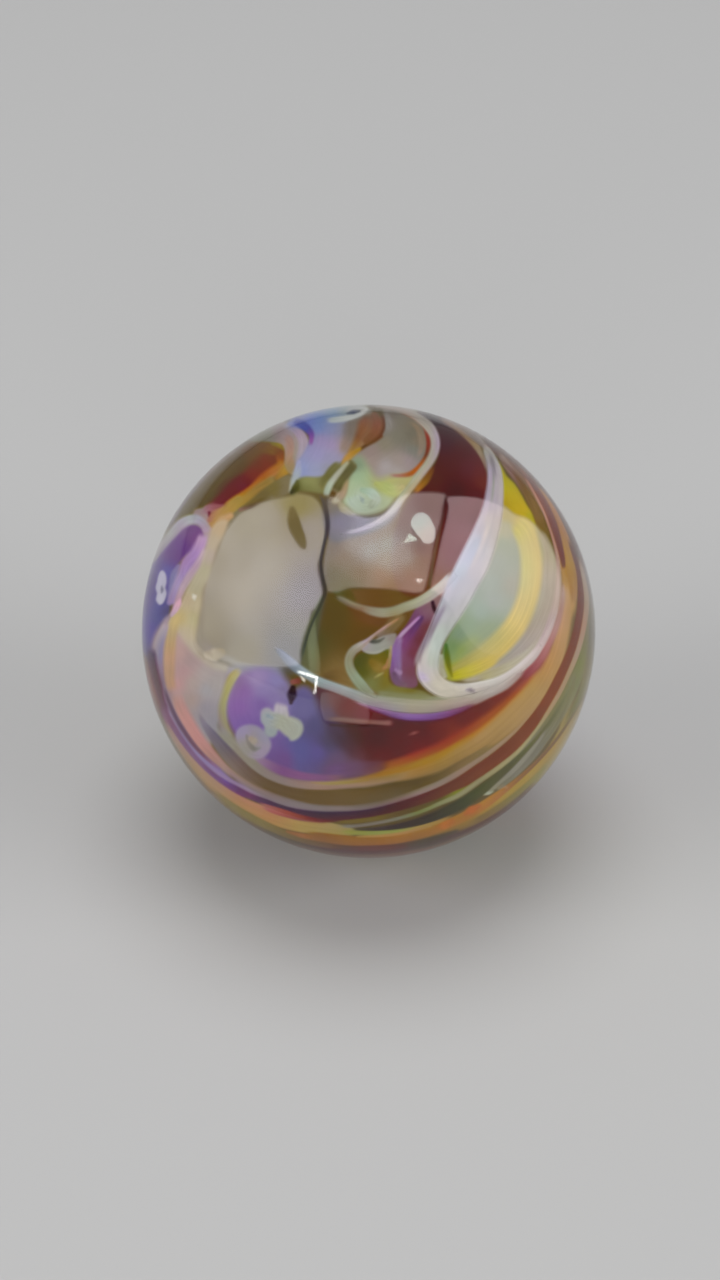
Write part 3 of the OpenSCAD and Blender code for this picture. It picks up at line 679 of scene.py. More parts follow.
LOOP_STROKES = [
    dict(blur=1.2, tone=1.02, vivid=1.03),
    ("inside of the loop", 3, "384,410 400,410 412,416 421,424 426,436 426,448 423,462 414,474 402,480 "
     "390,482 376,482 362,474 352,462 364,450 378,442 386,434 387,422",
     "392,414,74685c 388,424,8c8680 400,420,7a7464 410,422,7c705c 410,435,706c5c 396,436,7c7868 "
     "412,450,787a70 384,444,88806c 372,452,92807a 372,462,988880 385,466,a29a9a 398,460,9a8c84 "
     "408,460,98888a 396,472,a09894 418,440,80705c 360,466,8c8874"),
    ("pale thread of the loop", 3, "386,413,3 388,420,5 388,428,5 384,435,3", "807870 8c8680 8a847c 80786c"),
    ("mint", 9, "352,462 360,458 367,467 373,476 380,479 390,477 402,476 414,478 404,490 396,498 390,506 "
     "380,512 366,516 350,515 342,512 342,500 346,486 350,474",
     "356,466,7c8c74 358,477,98ae8c 365,484,9aae88 352,486,a4b490 360,494,b0bcac 348,500,a8b490 "
     "357,504,acb0a8 370,494,a8b89c 375,482,a09c6c 390,481,aca868 402,482,aca46c 390,490,acb480 "
     "378,488,98a06c 400,490,b0a880 370,508,989c8c 385,502,a8b094 346,510,807c64"),
    ("dusk under the mint", 6, "326,499 338,508 348,515 366,518 382,515 396,504 399,510 390,522 374,531 "
     "352,537 334,541 326,530 323,512",
     "330,504,5c5248 336,520,423e44 350,525,44404a 368,522,505058 385,514,6c686c 392,508,847c7c "
     "336,537,483c40"),
    ("pale mint", 7, "349,492,6 353,500,12 362,505,12 376,504,11 388,499,8",
     "a0b090 a8b4a4 a4b09c a0a890 a0a884"),
    ("pale mint fold", 3.5, "362,490,4 371,493,7 376,500,7 371,506,5", "98ac94 a8b8a8 a8b0a0 98a08c"),
    ("yellow green of the mint", 4, "376,484,4 386,488,9 394,491,9 402,488,5",
     "a4a868 a8b070 b0b478 b4a878"),
    ("grey spot", 3, "360,497,2 362,500,3.4 363,503,2", "9ca89c 909c94 9ca89c"),
    ("tan lobe", 5, "340,503,4 343,509,6 350,513,4", "88805c 8c845c 807c60", "", 0.7),
    ("tan by the mint", 4, "346,474,3 344,484,6 341,494,7 336,500,5 330,504,4",
     "948c68 a08c68 a08c74 98907a 908870"),
    ("bronze stroke a", 3.5, "342,462,5 335,469,9 329,477,9 324,485,8 321,491,4",
     "747048 6e6a44 68643c 706c44 80784c"),
    ("bronze stroke b", 3.5, "356,461,4 351,466,9 344,473,10 339,481,9 336,488,8 333,493,4",
     "7c7450 5f5c3c 605a3c 64603c 605838 8c7c60"),
    ("white thread", 3, "350,460,3 345,465,3.5 340,471,4 335,477,4.5 330,484,5 327,491,5 325.5,498,4",
     "a89870 a0a084 a4a490 a4a494 a8b09c a0ac98 98988c"),
    ("scarlet line", 2.5, "398,412,2 407,415,2.6 417,420,3 424,427,3.2 427.5,436,4 428.5,445,4 426.5,455,4 "
     "422,463,4 416,469.5,4 409,474,4 399,475.5,3 387,475,2.5",
     "846c54 8a6850 8c5c40 8c4a34 8c3424 843424 6c3c28 9c5020 a85820 a05c30 a07060 a08078"),
    ("beige inside scarlet", 4, "408,420,2 417,428,4 421,438,5 421,448,4 417,458,3",
     "84745c 8c7860 8c7c68 8c7c6c 9c8a80"),
]

CENTRE_STROKES = [
    dict(blur=1.2, tone=0.98, vivid=0.94, grow=0.8),
    ("centre mauve", 3, "418,606 428,600 440,592 450,588 447,600 440,614 432,626 424,642 418,656 415,670 "
     "417,684 408,688 398,686 392,678 390,664 392,648 398,637 408,624",
     "445,594,8a6a62 436,602,8a6868 426,611,84606c 419,618,70466c 410,634,74406e 404,646,7c4470 "
     "395,650,8a6a98 396,664,8c6c98 420,640,6c3838 413,652,763c42 427,628,6e3c3c 404,664,784458 "
     "410,672,7a4850 398,680,7c5c78 410,682,7c5464"),
    ("violet shade", 4, "421,618,4 416,625,6 410,633,6 404,642,5", "5c3c60 643e68 70406a 7c4872"),
    ("lilac ribbon", 3.5, "402,634,4 397,643,8 395.5,654,9 396,665,9 397,675,7 400,683,4",
     "a080a4 8e6c98 8c6c9c 8c7098 846888 7c5c78", "a07c9c 8a6494 84609c 80588c 7c5878 7c5c78"),
    ("pink line of the ribbon", 2.2, "422,614.5,2 416,620,2.6 409,627,3 402,634,3.4 397,640,2.4",
     "a070a8 b080b0 b088ac b090b0 a084a8"),
    ("pale mark", 3, "396,670,3 400,672.5,4", "9878a0 a080a0"),
    ("plum foot", 3, "394,674,4 397,681,5 406,685,4", "6c5068 745870 7c5c68"),
    ("dark thread", 2.4, "432.5,602,3 434,608,3.6 437,615,3", "3c2430 3a2028 4c2c34"),
    ("brown by the line", 4, "405,612,5 398,620,9 390,628,10 382,635,7 374,639,4",
     "847048 7c6640 786444 7c6a5c 74665c"),
    ("pale ellipse", 2.5,
     "361,645 366,641 376,640 384,636.5 395,634 394,641 390,648 383,652 372,653.5 364,651",
     "364,645,a08ca0 375,647,94988c 385,643,98988c 392,638,8c8078 369,650,9c9a90"),
    ("dark over the ellipse", 2.5, "367,640.5,2 373,641.5,3.6 379,641,3 384,638,2",
     "5c5048 50504a 5c5c50 74706a"),
    ("hollow of the hook", 3, "354,663 358,656 364,653 376,654 388,650 390,658 388,668 388,680 394,686 "
     "410,689 424,692 430,698 412,700 390,697 374,690 366,682 358,674",
     "359,663,4e502a 364,658,54522a 364,672,545626 373,663,7c6a2c 380,668,8a7038 386,660,74601e "
     "389,652,5c6020 378,677,787440 372,683,7c8050 386,682,80702a 396,688,7c7438 412,690,7a6e2c "
     "390,694,7c8054 416,697,84845c"),
    ("gold in the hollow", 4, "372,662,5 378,667,8 384,670,6 386,676,3", "80682c 8c7438 8a7038 80702a"),
    ("peach speck", 2.5, "384,668,3 387.5,665,4 388,660,2.5", "a07848 a87c54 9c7448"),
    ("cream thread", 2, "375,677.5,2 379,675,2.4 383,673,2", "908450 a09858 948850"),
    ("cream lower line", 2, "362,650,1.8 369,652.5,2.2 377,652.5,2.2 384,649,2 389,645,1.6",
     "a4a098 a4a498 a4a498 9c9c90 8c8c80"),
    ("tall cream edge", 2.5, "391,647,2.4 390,657,3 389,667,2.6", "a49870 a0885c 94784c"),
    ("grey green floor", 4, "372,694,6 388,697,9 404,699,10 420,700,10 436,701,9 456,700,7 474,697,6",
     "8c9070 84845c 84845c 88885c 909070 989884 a89c90"),
]

RIM_BANDS = [
    dict(blur=0.8, tone=1.0, vivid=1.03, grow=0.4, gloss=0.02),
    ("rim base", 4,
     "limb 12,0.965,18 30,0.975,14 50,0.965,18 70,0.965,20 90,0.965,20 110,0.97,18 130,0.98,12 150,0.985,8",
     "7c7448 84743c 7c6430 6c5430 68482c 685030 785c38 846450",
     "8c805c a08c50 94783c 70503c 644038 6c5038 7c6438 8c6c54"),
    dict(blur=0.8, tone=1.06, vivid=1.08, grow=0.4),
    ("gold rim", 3, "limb 158,0.983,3 150,0.975,5 142,0.968,7 134,0.958,10 126,0.941,12 118,0.922,15 "
     "110,0.903,15 103,0.888,13 97,0.884,9 92,0.888,5",
     "846454 98786c a08068 a07c64 ac785c b07858 a88c50 a08854 98885c 8c8c50",
     "846450 94745c 947440 9c7848 a87c3c a87c40 a48848 a08c50 a08c4c 949048"),
    ("red edge of the gold", 2.5,
     "limb 122,0.905,2 118,0.894,5 114,0.884,5 110,0.876,4.4 105,0.865,3.4 101,0.858,2",
     "a0706c b06c60 b46c50 a87044 94603c 846440", "9c5c60 a04c48 8c3c3c 7c3848 84503c 706430"),
    ("olive rim", 3, "limb 136,0.982,3 128,0.976,6 120,0.968,7 112,0.964,7 104,0.962,6 96,0.96,4",
     "7c6438 7c6c30 7c6c30 74602c 6c502c 6c4430"),
    ("orange in the olive", 3, "limb 112,0.952,2 108,0.946,4 104,0.938,5 99,0.932,6",
     "94602c a06430 94602c 8c602c"),
    dict(blur=0.8, tone=1.0, vivid=1.03, grow=0.4, gloss=0.035),
    ("gold right rim", 3, "limb 16,0.995,3 22,0.99,5 29,0.982,8 36,0.973,11 43,0.966,13 50,0.957,13 "
     "57,0.951,11 64,0.945,8 72,0.94,5 80,0.938,3",
     "847450 8c7c50 948450 948448 947c40 907838 907430 84682c 7c602c 7c5c2c",
     "8c7c58 9c8858 a88c50 b09048 b09444 b0943c b08c30 a07828 946828 8c5c28"),
    ("olive in the gold", 3, "limb 34,0.98,2 41,0.979,5 49,0.972,7 56,0.966,7 63,0.962,5",
     "8c8448 8c8440 84783c 846c38 745c30"),
    ("orange rim line", 2.5, "limb 15,0.986,1.4 20,0.976,2 25,0.965,2.2 30,0.954,2.6 35,0.943,3 "
     "40,0.933,3.6 45,0.925,4.4 50,0.919,6 56,0.918,8 62,0.917,8.4 68,0.917,8.4 75,0.919,8.4 82,0.922,8.6 "
     "89,0.924,8.6 96,0.926,9 102,0.928,8 108,0.938,5",
     "705838 685434 68502c 64441c 6c4418 744a18 84541c a06424 ac6c20 a87028 a8702c a06c2c a46c30 a06830 "
     "9c6830 946434 986834",
     "705838 6c5838 70582c 6c4c20 78501c 805418 8c5c1c a87028 ac7820 a87420 a4742c a47430 a87434 a07030 "
     "a07034 946434 986834"),
    dict(blur=0.8, tone=1.0, vivid=1.03, grow=0.4, gloss=0.012),
    ("orange spot a", 4, "limb 57.5,0.91,4 60,0.908,7 62,0.91,4", "b06834 bc6a34 b06830"),
    ("orange spot b", 4, "limb 66,0.914,5 68.5,0.915,8 70.5,0.916,4", "b06c30 bc7028 a86c28"),
    ("olive under the rim", 3, "limb 66,0.962,3 71,0.962,6 76,0.961,6 82,0.963,3",
     "544430 4c402c 4c4028 5c4030"),
    ("red brown under the rim", 3, "limb 80,0.96,3 85,0.959,6 90,0.96,6 96,0.963,4",
     "643c30 6c3c34 70403c 64443c"),
    dict(blur=0.8, tone=1.08, vivid=1.0, grow=0.4),
    ("yellow green rim line", 2.5,
     "limb 64,0.892,2 70,0.893,3.6 76,0.891,4 82,0.889,5 88,0.888,5 94,0.888,4 99,0.89,2",
     "94703c a0803c a48844 8c9440 8c9444 90903c 949044"),
    ("tan rim line", 2, "limb 72,0.902,1.8 79,0.901,2.6 86,0.902,2.6 93,0.905,2",
     "a07c3c b08048 ac8040 a88440"),
    dict(blur=0.8, tone=1.0, vivid=1.0, grow=0.4, gloss=0.02),
    ("grey green band", 3, "484,794,2 496,787,3 508,778,5 520,768,6 531,756.5,7.5 541,742.5,9 550,728,11 "
     "559,713,12 567,698,12 575,681,11 582,662,10 587,640,9 590,618,8 591,600,7 588,580,5 583,562,3",
     "a0a490 9c9c84 807c6c 80806c 807c6c 7c8054 7c8058 7c8060 848464 808058 787c48 7c7450 7c7058 7c7468 "
     "7c706c 80706c",
     "989480 a09880 84806c 807c60 848068 8c8464 8c8458 888060 84805c 7c7c50 807c4c 7c7450 7c7460 7c7068 "
     "7c706c 80706c"),
    ("grey olive edge", 3, "limb -6,0.985,4 2,0.985,6 10,0.982,7 18,0.972,5 26,0.955,3",
     "706860 706854 7c7048 74703c 706838"),
    ("pink speck", 2, "499,788,3 503,785.5,4.5 507,787,3", "a88c68 b88c68 a87c50"),
    ("pale speck", 2, "484,794,2.5 489,792.5,3.5 493,791,2", "a0a488 b4b8a4 a0a48c"),
    dict(blur=0.8, tone=0.9, vivid=1.2, grow=0.4, gloss=0.035),
    ("dark rim", 2, "limb 120,0.99,2 112,0.985,2.6 104,0.981,3 97,0.977,3.6 90,0.976,4 83,0.976,4 "
     "76,0.977,4 69,0.978,4 62,0.981,3.6 55,0.985,3.4 48,0.988,3 41,0.991,2",
     "504828 4c3c20 503430 502830 4c141c 501418 3c280c 44201c 481c10 4c200c 50341c 5c4028"),
    ("pinkish rim", 2, "limb 70,0.994,1.6 77,0.991,3 85,0.991,4 93,0.991,4 101,0.994,2",
     "74584c 7c5c50 7c5c50 74584c 6c5850"),
]

LOWER_BANDS = [
    dict(blur=0.75, tone=1.0, vivid=1.03, grow=0.4, gloss=0.01),
    ("umber band", 3.5, "197,710,2 204,724,5 213,736,8.5 224,750,12 237,764,13 250,776,13 266,786,13 "
     "286,793,13 310,797,14 340,798,15 368,797,15 395,791,12 418,785,9 440,777,8 460,765,7 480,753,6 "
     "496,742,4",
     "8c8084 807888 6c6474 645a66 6c5a58 6a5648 66523a 66523a 685434 6e5a38 6a5634 625030 5c4c30 685838 "
     "7a6444 84704a 907a54",
     "8c8484 847c88 786e78 766c68 806e62 746050 6a5638 665234 6a5638 6e5a3c 6a5a40 6a5c44 645432 6a5a3a "
     "806c4c 7e6c4a 887650"),
    ("pink grey line", 3, "224,766,3.4 237,777,5 252,787,5.5 272,797,7 292,804,8 315,809,8 340,810,8 "
     "362,809,8 384,804,7 402,799,7 420,792.5,7 440,785,8 460,774,8 480,761,7 500,746,6 520,729,5.5 "
     "536,711,5 548,694,4 556,680,3",
     "a08074 98806c 907868 847068 807470 847a74 82746c 786c60 746650 80705c 8a7c64 8c8070 96806c 94806c "
     "a08a70 a4886a a88a68 a88c6c a88c6c",
     "987878 907880 84767c 84767c 8a7e84 8c8084 8c8080 84787c 86707a 8a6a70 9a8088 96807a 98807a 94806c "
     "a08670 a0876a a8886c a88c6c a88c6c"),
    ("plum line", 3, "216,776,3 226,783,4 238,790,5 250,796,5 265,802,5.5 283,809,6 301,813.5,7 320,816,8 "
     "340,816.5,9 360,815.5,9 380,812,9 400,806.5,9 420,800.5,10 440,793,11 460,783,12 480,770,12.5 "
     "500,756,13 520,738.5,13 537,718,12 550,698,11 560,678,10 569,658,9 576,636,8 580.2,612,6.8 "
     "580.8,590,5.6 578.4,570,4.4 572.8,552,3 567,536,2",
     "6e4a7c 644490 5c2c5c 6c3460 402040 3c2440 381c38 302038 3a2440 381e34 3c2030 4e2226 5a2826 5c2c20 "
     "602c14 642c10 683010 6c3410 6e3410 74360e 74360e 703410 682c08 642804 602404 561c02 501802 4c2c1c",
     "784880 703c78 643468 6c3460 482048 401c34 4a1c34 501c28 541e24 501c20 502224 4e2420 582c1c 66341c "
     "68320e 6e340e 70320e 743610 703410 783810 743610 6c3210 682c08 642804 602404 561c02 501802 4c2c1c"),
    ("red seam", 2.5, "256,802,2 270,807,3 286,812,3.5 302,817,3.5 320,820.5,3 340,821,2",
     "a87068 a06058 9c4c40 8c4034 6c2028 5c2420"),
    ("olive seam", 2.5, "330,822,2 352,821.5,4 376,818.5,4.5 400,813.5,5 420,808,5 440,800.5,4 "
     "456,792.5,3.5 470,786,3 484,776,2", "746830 74622e 70602c 5c4820 5c4c20 585018 7c8020 807838 807040"),
    ("green grey thread", 2.5, "336,826,3 356,826,3 380,822.5,3 400,818,3.2 420,812,3.5 440,803.5,3.8 "
     "460,794.5,4.5 480,780.5,4.5 500,766.5,4.5 520,750,4.5 537,730,4.5 549,711,4.5 560,692,4.5 569,673,4.5 "
     "578,650,4.5 584,625,4.5 586.5,600,4.5 583,575,3.5 577,553,2.5",
     "8c8c7c 827a70 80786c 80806c 7c8450 8a8c64 94906c 908a68 9c946c a09870 a09872 a8906c a88c70 a89070 "
     "a8907c a8846c a08870 a08c7c 907868"),
    ("grey olive beside", 3, "limb 9,0.925,3 16,0.918,8 24,0.905,12 34,0.89,14 44,0.882,14 54,0.875,12",
     "7c7458 7a7650 787458 787464 7c7868 6c6c50", "7c7458 7c7850 7c7850 787460 787464 646850"),
    ("dark green lens", 2.5, "limb 11,0.927,1.4 16,0.917,2.2 21,0.904,3 26,0.893,3.6 31,0.883,4 "
     "36,0.873,4.8 41,0.864,5.8 46,0.859,6.8 51,0.857,8 56,0.859,9.4 61,0.862,9.6 67,0.863,9 72,0.865,8 "
     "77,0.867,6.4 82,0.869,5 87,0.871,3.6 91,0.872,2.6 95,0.874,1.6",
     "80805c 787854 707050 686848 666444 605e3e 5a5838 565238 565638 50502f 464830 3e3c2c 3c382c 403830 "
     "403632 443a34 4c4030 544c3c",
     "80805c 7a7a58 74704c 6c6848 68623e 606038 58583a 565438 545434 4c5030 484a38 403c26 403830 443a38 "
     "44383c 483c40 504844 544c3c"),
    ("pale thread", 2.5, "limb 27,0.897,1.6 33,0.891,3 39,0.886,4 45,0.883,4 50,0.881,3 54,0.884,2",
     "847c6c 8c8878 8c8878 8a8678 8a8670 8c8c70"),
]

WHITE_RIBBONS = [
    ("small hook", 2.4, "402,616.5,2 393,622,2.6 384,628,2.8 375,634.5,3 367,641,4 360,646,6.5 353,651,7 "
     "349,659,7 350,668,7.5 355,677,8.5 361.5,685,9 368,692,8 376,698,6",
     "a88060 a88460 b09088 a08878 a89488 a89c8c 98907c 8c886c 8c8c74 8c9880 8c9880 8c9078 949480",
     "a07850 a07c58 ac8c84 98847c a090a0 a09a94 94907c 949078 94987c 949c84 90987c 8c8c74 949480"),
    ("upper line", 2.6, "334,596,3 343,600,4.5 352,604.5,5 362,608,5.5 372,611,7 383,612.5,8 394,611,8 "
     "405,607,8 416,603,8 427,597,8.5 437,590,9 446,583,10 455,574,12",
     "74745c 84806a 8c8468 8c7c64 8c8470 909078 8c8c70 98987c a4a488 acac94 b4b4a8 b8b8b4 b4bcc4",
     "64604c 7c705c 806c58 8a6c54 98907c a09880 a09470 a09c80 a8a490 b4aca0 bcb0ac c0b4b8 b8b8c4"),
    ("lower line", 2.8, "274,647,3 282,654,6 291,663,8 301,671,8 311,677,7 321,682.5,8 332,686.5,8 "
     "343,690.5,8.5 354,694.5,9 366,699,10.5 380,702.5,12 396,704.5,13 412,706,13 428,706.5,12 444,705.5,11 "
     "460,702.5,11 476,698,10 491,691,9 506,682.5,8 520,671,7",
     "5c6070 646c80 788094 94a0a4 9ca8a8 94a4a4 98a4a4 9ca4a4 98a09c 9c9c8c 989c88 989880 9c9880 a09c84 "
     "a89c88 a8a090 b0a498 b8aca4 c0b4ac c4b8b0",
     "586068 606874 707884 88949c 98a0a0 98a0a0 a0989c a09a98 9c9898 a0989c a08c9c a0989c a89c8c a89c90 "
     "a09088 a8908c a89088 a89890 b0a49c b8a8a4"),
    ("violet line", 2.4, "352,702,1.5 366,706,3 380,710.5,4.5 394,714.5,5.5 408,716.5,6 422,717,6 436,716,6 "
     "450,713,5.5 464,708.5,4.5 478,703,2.5",
     "a08c94 a088a0 9a789c 8c6c98 8c6ca0 8c68a0 84609c 8c5c88 8c5c74 8c6464",
     "744048 844c60 704068 744c7c 805898 7c5090 74487c 744070 6c3050 6a2c30"),
    ("loop", 2.6, "366,404.5,2 382,406,4 397,408,5 409,412.5,6 419,418.5,7 428,426,8.5 433.5,435,7.8 "
     "435,445,7.8 432.5,455,7.4 427.5,464,7 421.5,472,7 415.5,480,6.8 409.5,488,6.6 403,496,6.4 397.5,504,6 "
     "391.5,511,5.5 383,518.5,5 371,525.5,4.5 357,530.5,4 340,534,2.5",
     "6c645c a0948c a8988c a89c90 a8a094 b0a8a0 b4a4b4 b09cb0 b0a4a8 b0a49c b4a49c b8a888 b8a484 b4a890 "
     "b0a8a4 b0acac a49ca4 948c9c 8c8494 7c7480",
     "6c645c 9c8c80 a08c80 a89484 b0a498 b4ac9c b8b0a4 b4aca0 b0a898 b0ac94 b0b098 b4b49c b0b08c b0b494 "
     "b8b8ac b4b0ac aca4a4 a098a4 948c98 7c7480"),
    ("hook", 2.6, "483,443,2 487,451,7 491,460,10 494,470,13 495,481,15 494.5,492,17 493,504,19 490,518,22 "
     "485.5,532,25 480,547,28 473,563,30 465.5,578,29 458,594,27 450.5,609,24 443,623,21 436,637,18 "
     "431,650,18 428,662,20 428.5,673,21 434,682,19 443,688,17 454,690,14 466,689,11 480,686.5,10 494,683,9 "
     "507,677,8 520,668,7.5 532,657,7 541,645,5",
     "b8a098 b0aca4 b8b4b0 bcb4b4 c0b8b4 bcb2b0 bcb0b4 bfb0ac beb2ae c0b8b4 c0b8b8 c0b8bc c0bcbc bcb8b8 "
     "b8bcb4 b8beb6 c0c4bc bcc0b8 c0bcb0 c4bcac c8c0b0 c8c4b8 c8c4bc ccc8c0 d0ccc4 d0c8c4 d4ccc8 d4c8c4 "
     "ccbcb8",
     "b0a49c a8a49c a8a0a4 b0a4b8 b0a0b4 b0a4b4 b4a8b8 bdb4bc b8b4c0 b8bcc8 bcbccc b4bccc b8b8c8 b4b4bc "
     "b4b0b8 b8b8b8 c8c4bc d0c4c0 d0c4cc ccc4bc ccc4b4 c8beac c4bab0 c4b8b0 c0b8b0 c0b4ac c4b4ac c4b4b0 "
     "c4b4b0"),
    ("tail underside", 3.5, "462,697,2 476,696,6 490,691.5,8 503,685.5,8 515,677,6 526,668,4",
     "b8b0a0 b8b0a4 bcb4ac c0b8b0 c0b4ac c0b0ac", "a8a090 a89c90 b0a49c b0a098 a89088 a08080"),
]

RIBBON_MARKS = [
    ("shade left of the hook", 3.5, "447,600,2 439,615,4 432,629,5 425,643,5 419,656,5 415.5,668,3.5",
     "9c949c 94889a 8c8088 908490 98888c a09090"),
    ("grey thread of the hook", 2.2,
     "488,450,2 491.5,460,3.4 493.5,470,3 493.5,482,2.4 492.5,496,2 491,508,1.6",
     "a09898 8c8488 908890 989890 a4a49c b0a8a8"),
    ("pale thread of the hook", 2.4, "491.5,508,1.6 488,520,2.6 485,534,3 480,550,3 474,566,3 467,582,2.4",
     "c8bcb4 ccc0b8 ccc0bc c8c0c0 c8c0c0 c4bcc0"),
    ("blue sheen of the hook", 5, "480,530,3 475,544,7 468,557,8 460,570,8 455,580,6 449,592,3",
     "b8b8c4 b8bcc8 b8bccc b4c0cc b4bccc b4b8c4"),
    ("green sheen of the hook", 5, "446,620,4 440,634,8 435,647,8 432,660,7 433,670,4",
     "b8bcb4 b8c0b8 bcc4bc bcc0b4 c0c0b4"),
    ("cream bend", 5, "436,684,6 445,689,8 455,690,7 464,688,4", "ccc4b4 ccc4b4 c8c0b0 c8c0b4"),
    ("lilac mark of the bend", 4, "420,673,4 423,677,6 427,680,4", "c8bccc c8b8d0 ccc0cc"),
    ("nick", 2.2, "467,689.5,2 471,690,3.6 475,692,2", "a0949c 8c8084 a49898"),
]

# ---------------- the soft boxes, as the polished glass mirrors them

SOFT_BOXES = [
    dict(blur=1.0, tone=1.0, vivid=1.0, grow=0.0),
    ("left box", 6, "221,541 229,525 240,513 252,507 264,501 287,496 299,493 314,497 322,508 326,525 "
     "324,548 318,565 321,583 323,595 318,605 311,620 305,635 301,650 297,666 259,667 230,664 206,655 "
     "196,640 198,622 201,605 204.5,586 213,563",
     "215,560,646262 205,620,525254 215,645,444448 240,560,767475 262,570,848284 255,620,727276 "
     "270,520,7b7878 297,505,6a6648 305,555,7c7a7f 308,530,7b7980 295,600,868688 303,620,80807e "
     "285,650,7c7c80 240,650,646464"),
    ("box notch", 4, "289,510 293,507 298,516 302,528 306,540 305,549 299,546 292,535 287.5,523",
     "296,526,242424 303,545,2a2828 290,512,38342c"),
    ("centre box", 5, "327,500 336,497 346,506 356,513.5 368,517 384,513 400,496 420,492 445,494 443,506 "
     "441,520 435,540 431,563 425,588 416,593 385,589 352,588 338,592 325,590 322,575 325,550 329,528",
     "338,522,747080 362,522,868290 332,508,5c5850 332,545,5c6268 332,575,545858 345,560,6c6a68 "
     "355,545,8a8c8e 370,550,989ea2 386,546,929a9c 406,556,888686 386,562,90908e 380,575,806e68 "
     "360,575,6c625e 410,575,7a6a62 420,548,645c5c 422,562,70685e 405,520,7c7474 430,505,6c6462 "
     "375,530,8a8888 345,585,5c5c58 390,587,6c5a50"),
    ("right box", 3, "447.5,497.5 462,496 484,499 503,507 515,515 530,521 545,538 556,560 560,590 552,615 "
     "540,634 520,650 500,655 480,650 462,630 450,606 436,592 430.5,588 435.5,565 441,540 446,520 448,507",
     "462,505,78686a 462,535,7e6c70 446,560,76666a 440,580,6c5c58 478,548,5c5860 500,530,54544c "
     "540,560,4c4c46 520,600,3c3c38 480,600,444448 460,610,303030 510,640,181818 545,620,202020"),
    ("low strip", 2.5, "313,612,5 312,635,9 314,655,12 315,672,11", "404238 44483a 484c3a 3c3c30"),
    ("low box", 2, "322,693 345,697 367,704 367.5,723 345,722 324,719",
     "330,702,464444 345,706,302e2e 363,712,463a3a 345,719,3c3836"),
    ("round light", 0.8, "411,522 414,515.5 420,512.5 427,515 432,522 435,530 434.5,538 430,543 424.5,543 "
     "420,538 415,533 411.5,528", "420,520,b0c0ba 428,534,b8b4ae 433,534,bcbcb8 418,514,acb0b0"),
    ("light tail", 0.8, "400,543.6 405,540.4 408.4,534.6 411,534.4 416.4,539 411,541.4",
     "410,538,b8c4bc 403,542,b8bab0"),
    ("light notch", 0.8, "412,528,1.6 413.4,532,2.6 415,536,1.8 419,539.6,1.4",
     "686468 585458 686464 6c6460"),
    ("left seam", 2.6, "318,492,2.6 324,503,3.2 327,518,3.2 326.5,533,3.2 323.5,548,3.2 321,562,3 "
     "322.5,577,3 325,590,4 321,603,2.8 315,615,2.6 309,630,2.6 305,645,2.6 301,660,2.2", "000000"),
    ("right seam", 2,
     "445,494,2 445,506,2 443,516,2 439,532,1.6 436,546,1.6 433,560,1.6 430.5,574,1.6 428,588,1.6",
     "000000"),
    ("cream spot", 3, "208,655,8 214,655,13 221,653,9", "6c6458 7c7466 6c6458"),
    ("metal bar", 1.4, "298.5,672,2.4 308,674.8,2.8 317,678,2.6", "f0f0e8 fcfcf4 fcfcf4"),
    ("metal post", 1.4, "317,677.5,2.4 316,685,2.4 314.5,693,2", "fcfcf4 f4f4f0 f0f0ec"),
    ("small glint", 1.6, "416.5,580,3 419,580.5,4.2 421.5,580,3", "b4aca4 d0c8c0 b4aca4"),
    ("metal spark", 1.6, "301,677,2 304,680.5,3", "a8a098 d0ccc0"),
]


def paint_front(art):
    for strokes in (GROUND_STROKES, OXBLOOD_BAND, LOWER_LEFT, TOP_LEFT, LEFT_SIDE, RIGHT_SIDE, TOP_SIDE,
                    WINE_WEDGE, LOOP_STROKES, CENTRE_STROKES, RIM_BANDS, LOWER_BANDS):
        art.paint(strokes)
    art.set(blur=1.3, tone=0.98, vivid=1.0, grow=0.8)
    art.paint(WHITE_RIBBONS)
    art.paint(RIBBON_MARKS)


# ---------------- the far side, on its own chart

BACK_BANDS = [
    ("violet", "5c4474 64508c 7058a0 7c64a8 8470a4 9884ac",
     "6c5088 7460a0 9080b0 a898bc b0a0b4 a890a4"),
    ("sage", "5c5028 6c6438 78805c 6c8468 8c9c80 a0ac94",
     "5c4c28 847c48 a4a880 b4bc9c b8c0a8 a8ac98"),
    ("blue", "6470a8 5470b0 5c7cc0 7c94c0 98a8c4 b0b8c4",
     "787498 8088b8 9498c0 b0a8c8 b8b8c4 c0b8c0"),
    ("oxblood", "4c2828 502024 5c2020 6c2c24 7c3c34 74403c",
     "4c2c34 64302c 7c3c2c 84442c 8c5034 884c40"),
    ("orange", "8c6040 a06430 ac6c2c a87838 b4883c bc9448",
     "84503c 8c502c 946030 ac7c34 b48c3c c0a058"),
    ("olive", "706850 70643c 54501c 4c481c 64502c 5c5030",
     "74684c 847c50 8c8454 7c7440 785c38 705c38"),
    ("gold", "847040 a08440 b49444 bca04c c8b070 c4b484",
     "7c683c 907440 a08450 c0a868 ccb87c c8b888"),
    ("wine", "64402c 60302c 54202c 5c2440 6c3058 74385c",
     "5c3828 582c24 481c24 542038 643054 6c3050"),
    ("umber", "6c5834 6c5634 5c4828 5c4c30 7c6848 847860",
     "746040 806840 8c7450 88745c 847058 80704c"),
    ("salmon", "7c5c58 a47868 b88478 c09488 c4a498 c0a49c",
     "805c60 8c6c70 9c7884 ac8ca0 b4a0b0 b8a0a8"),
]

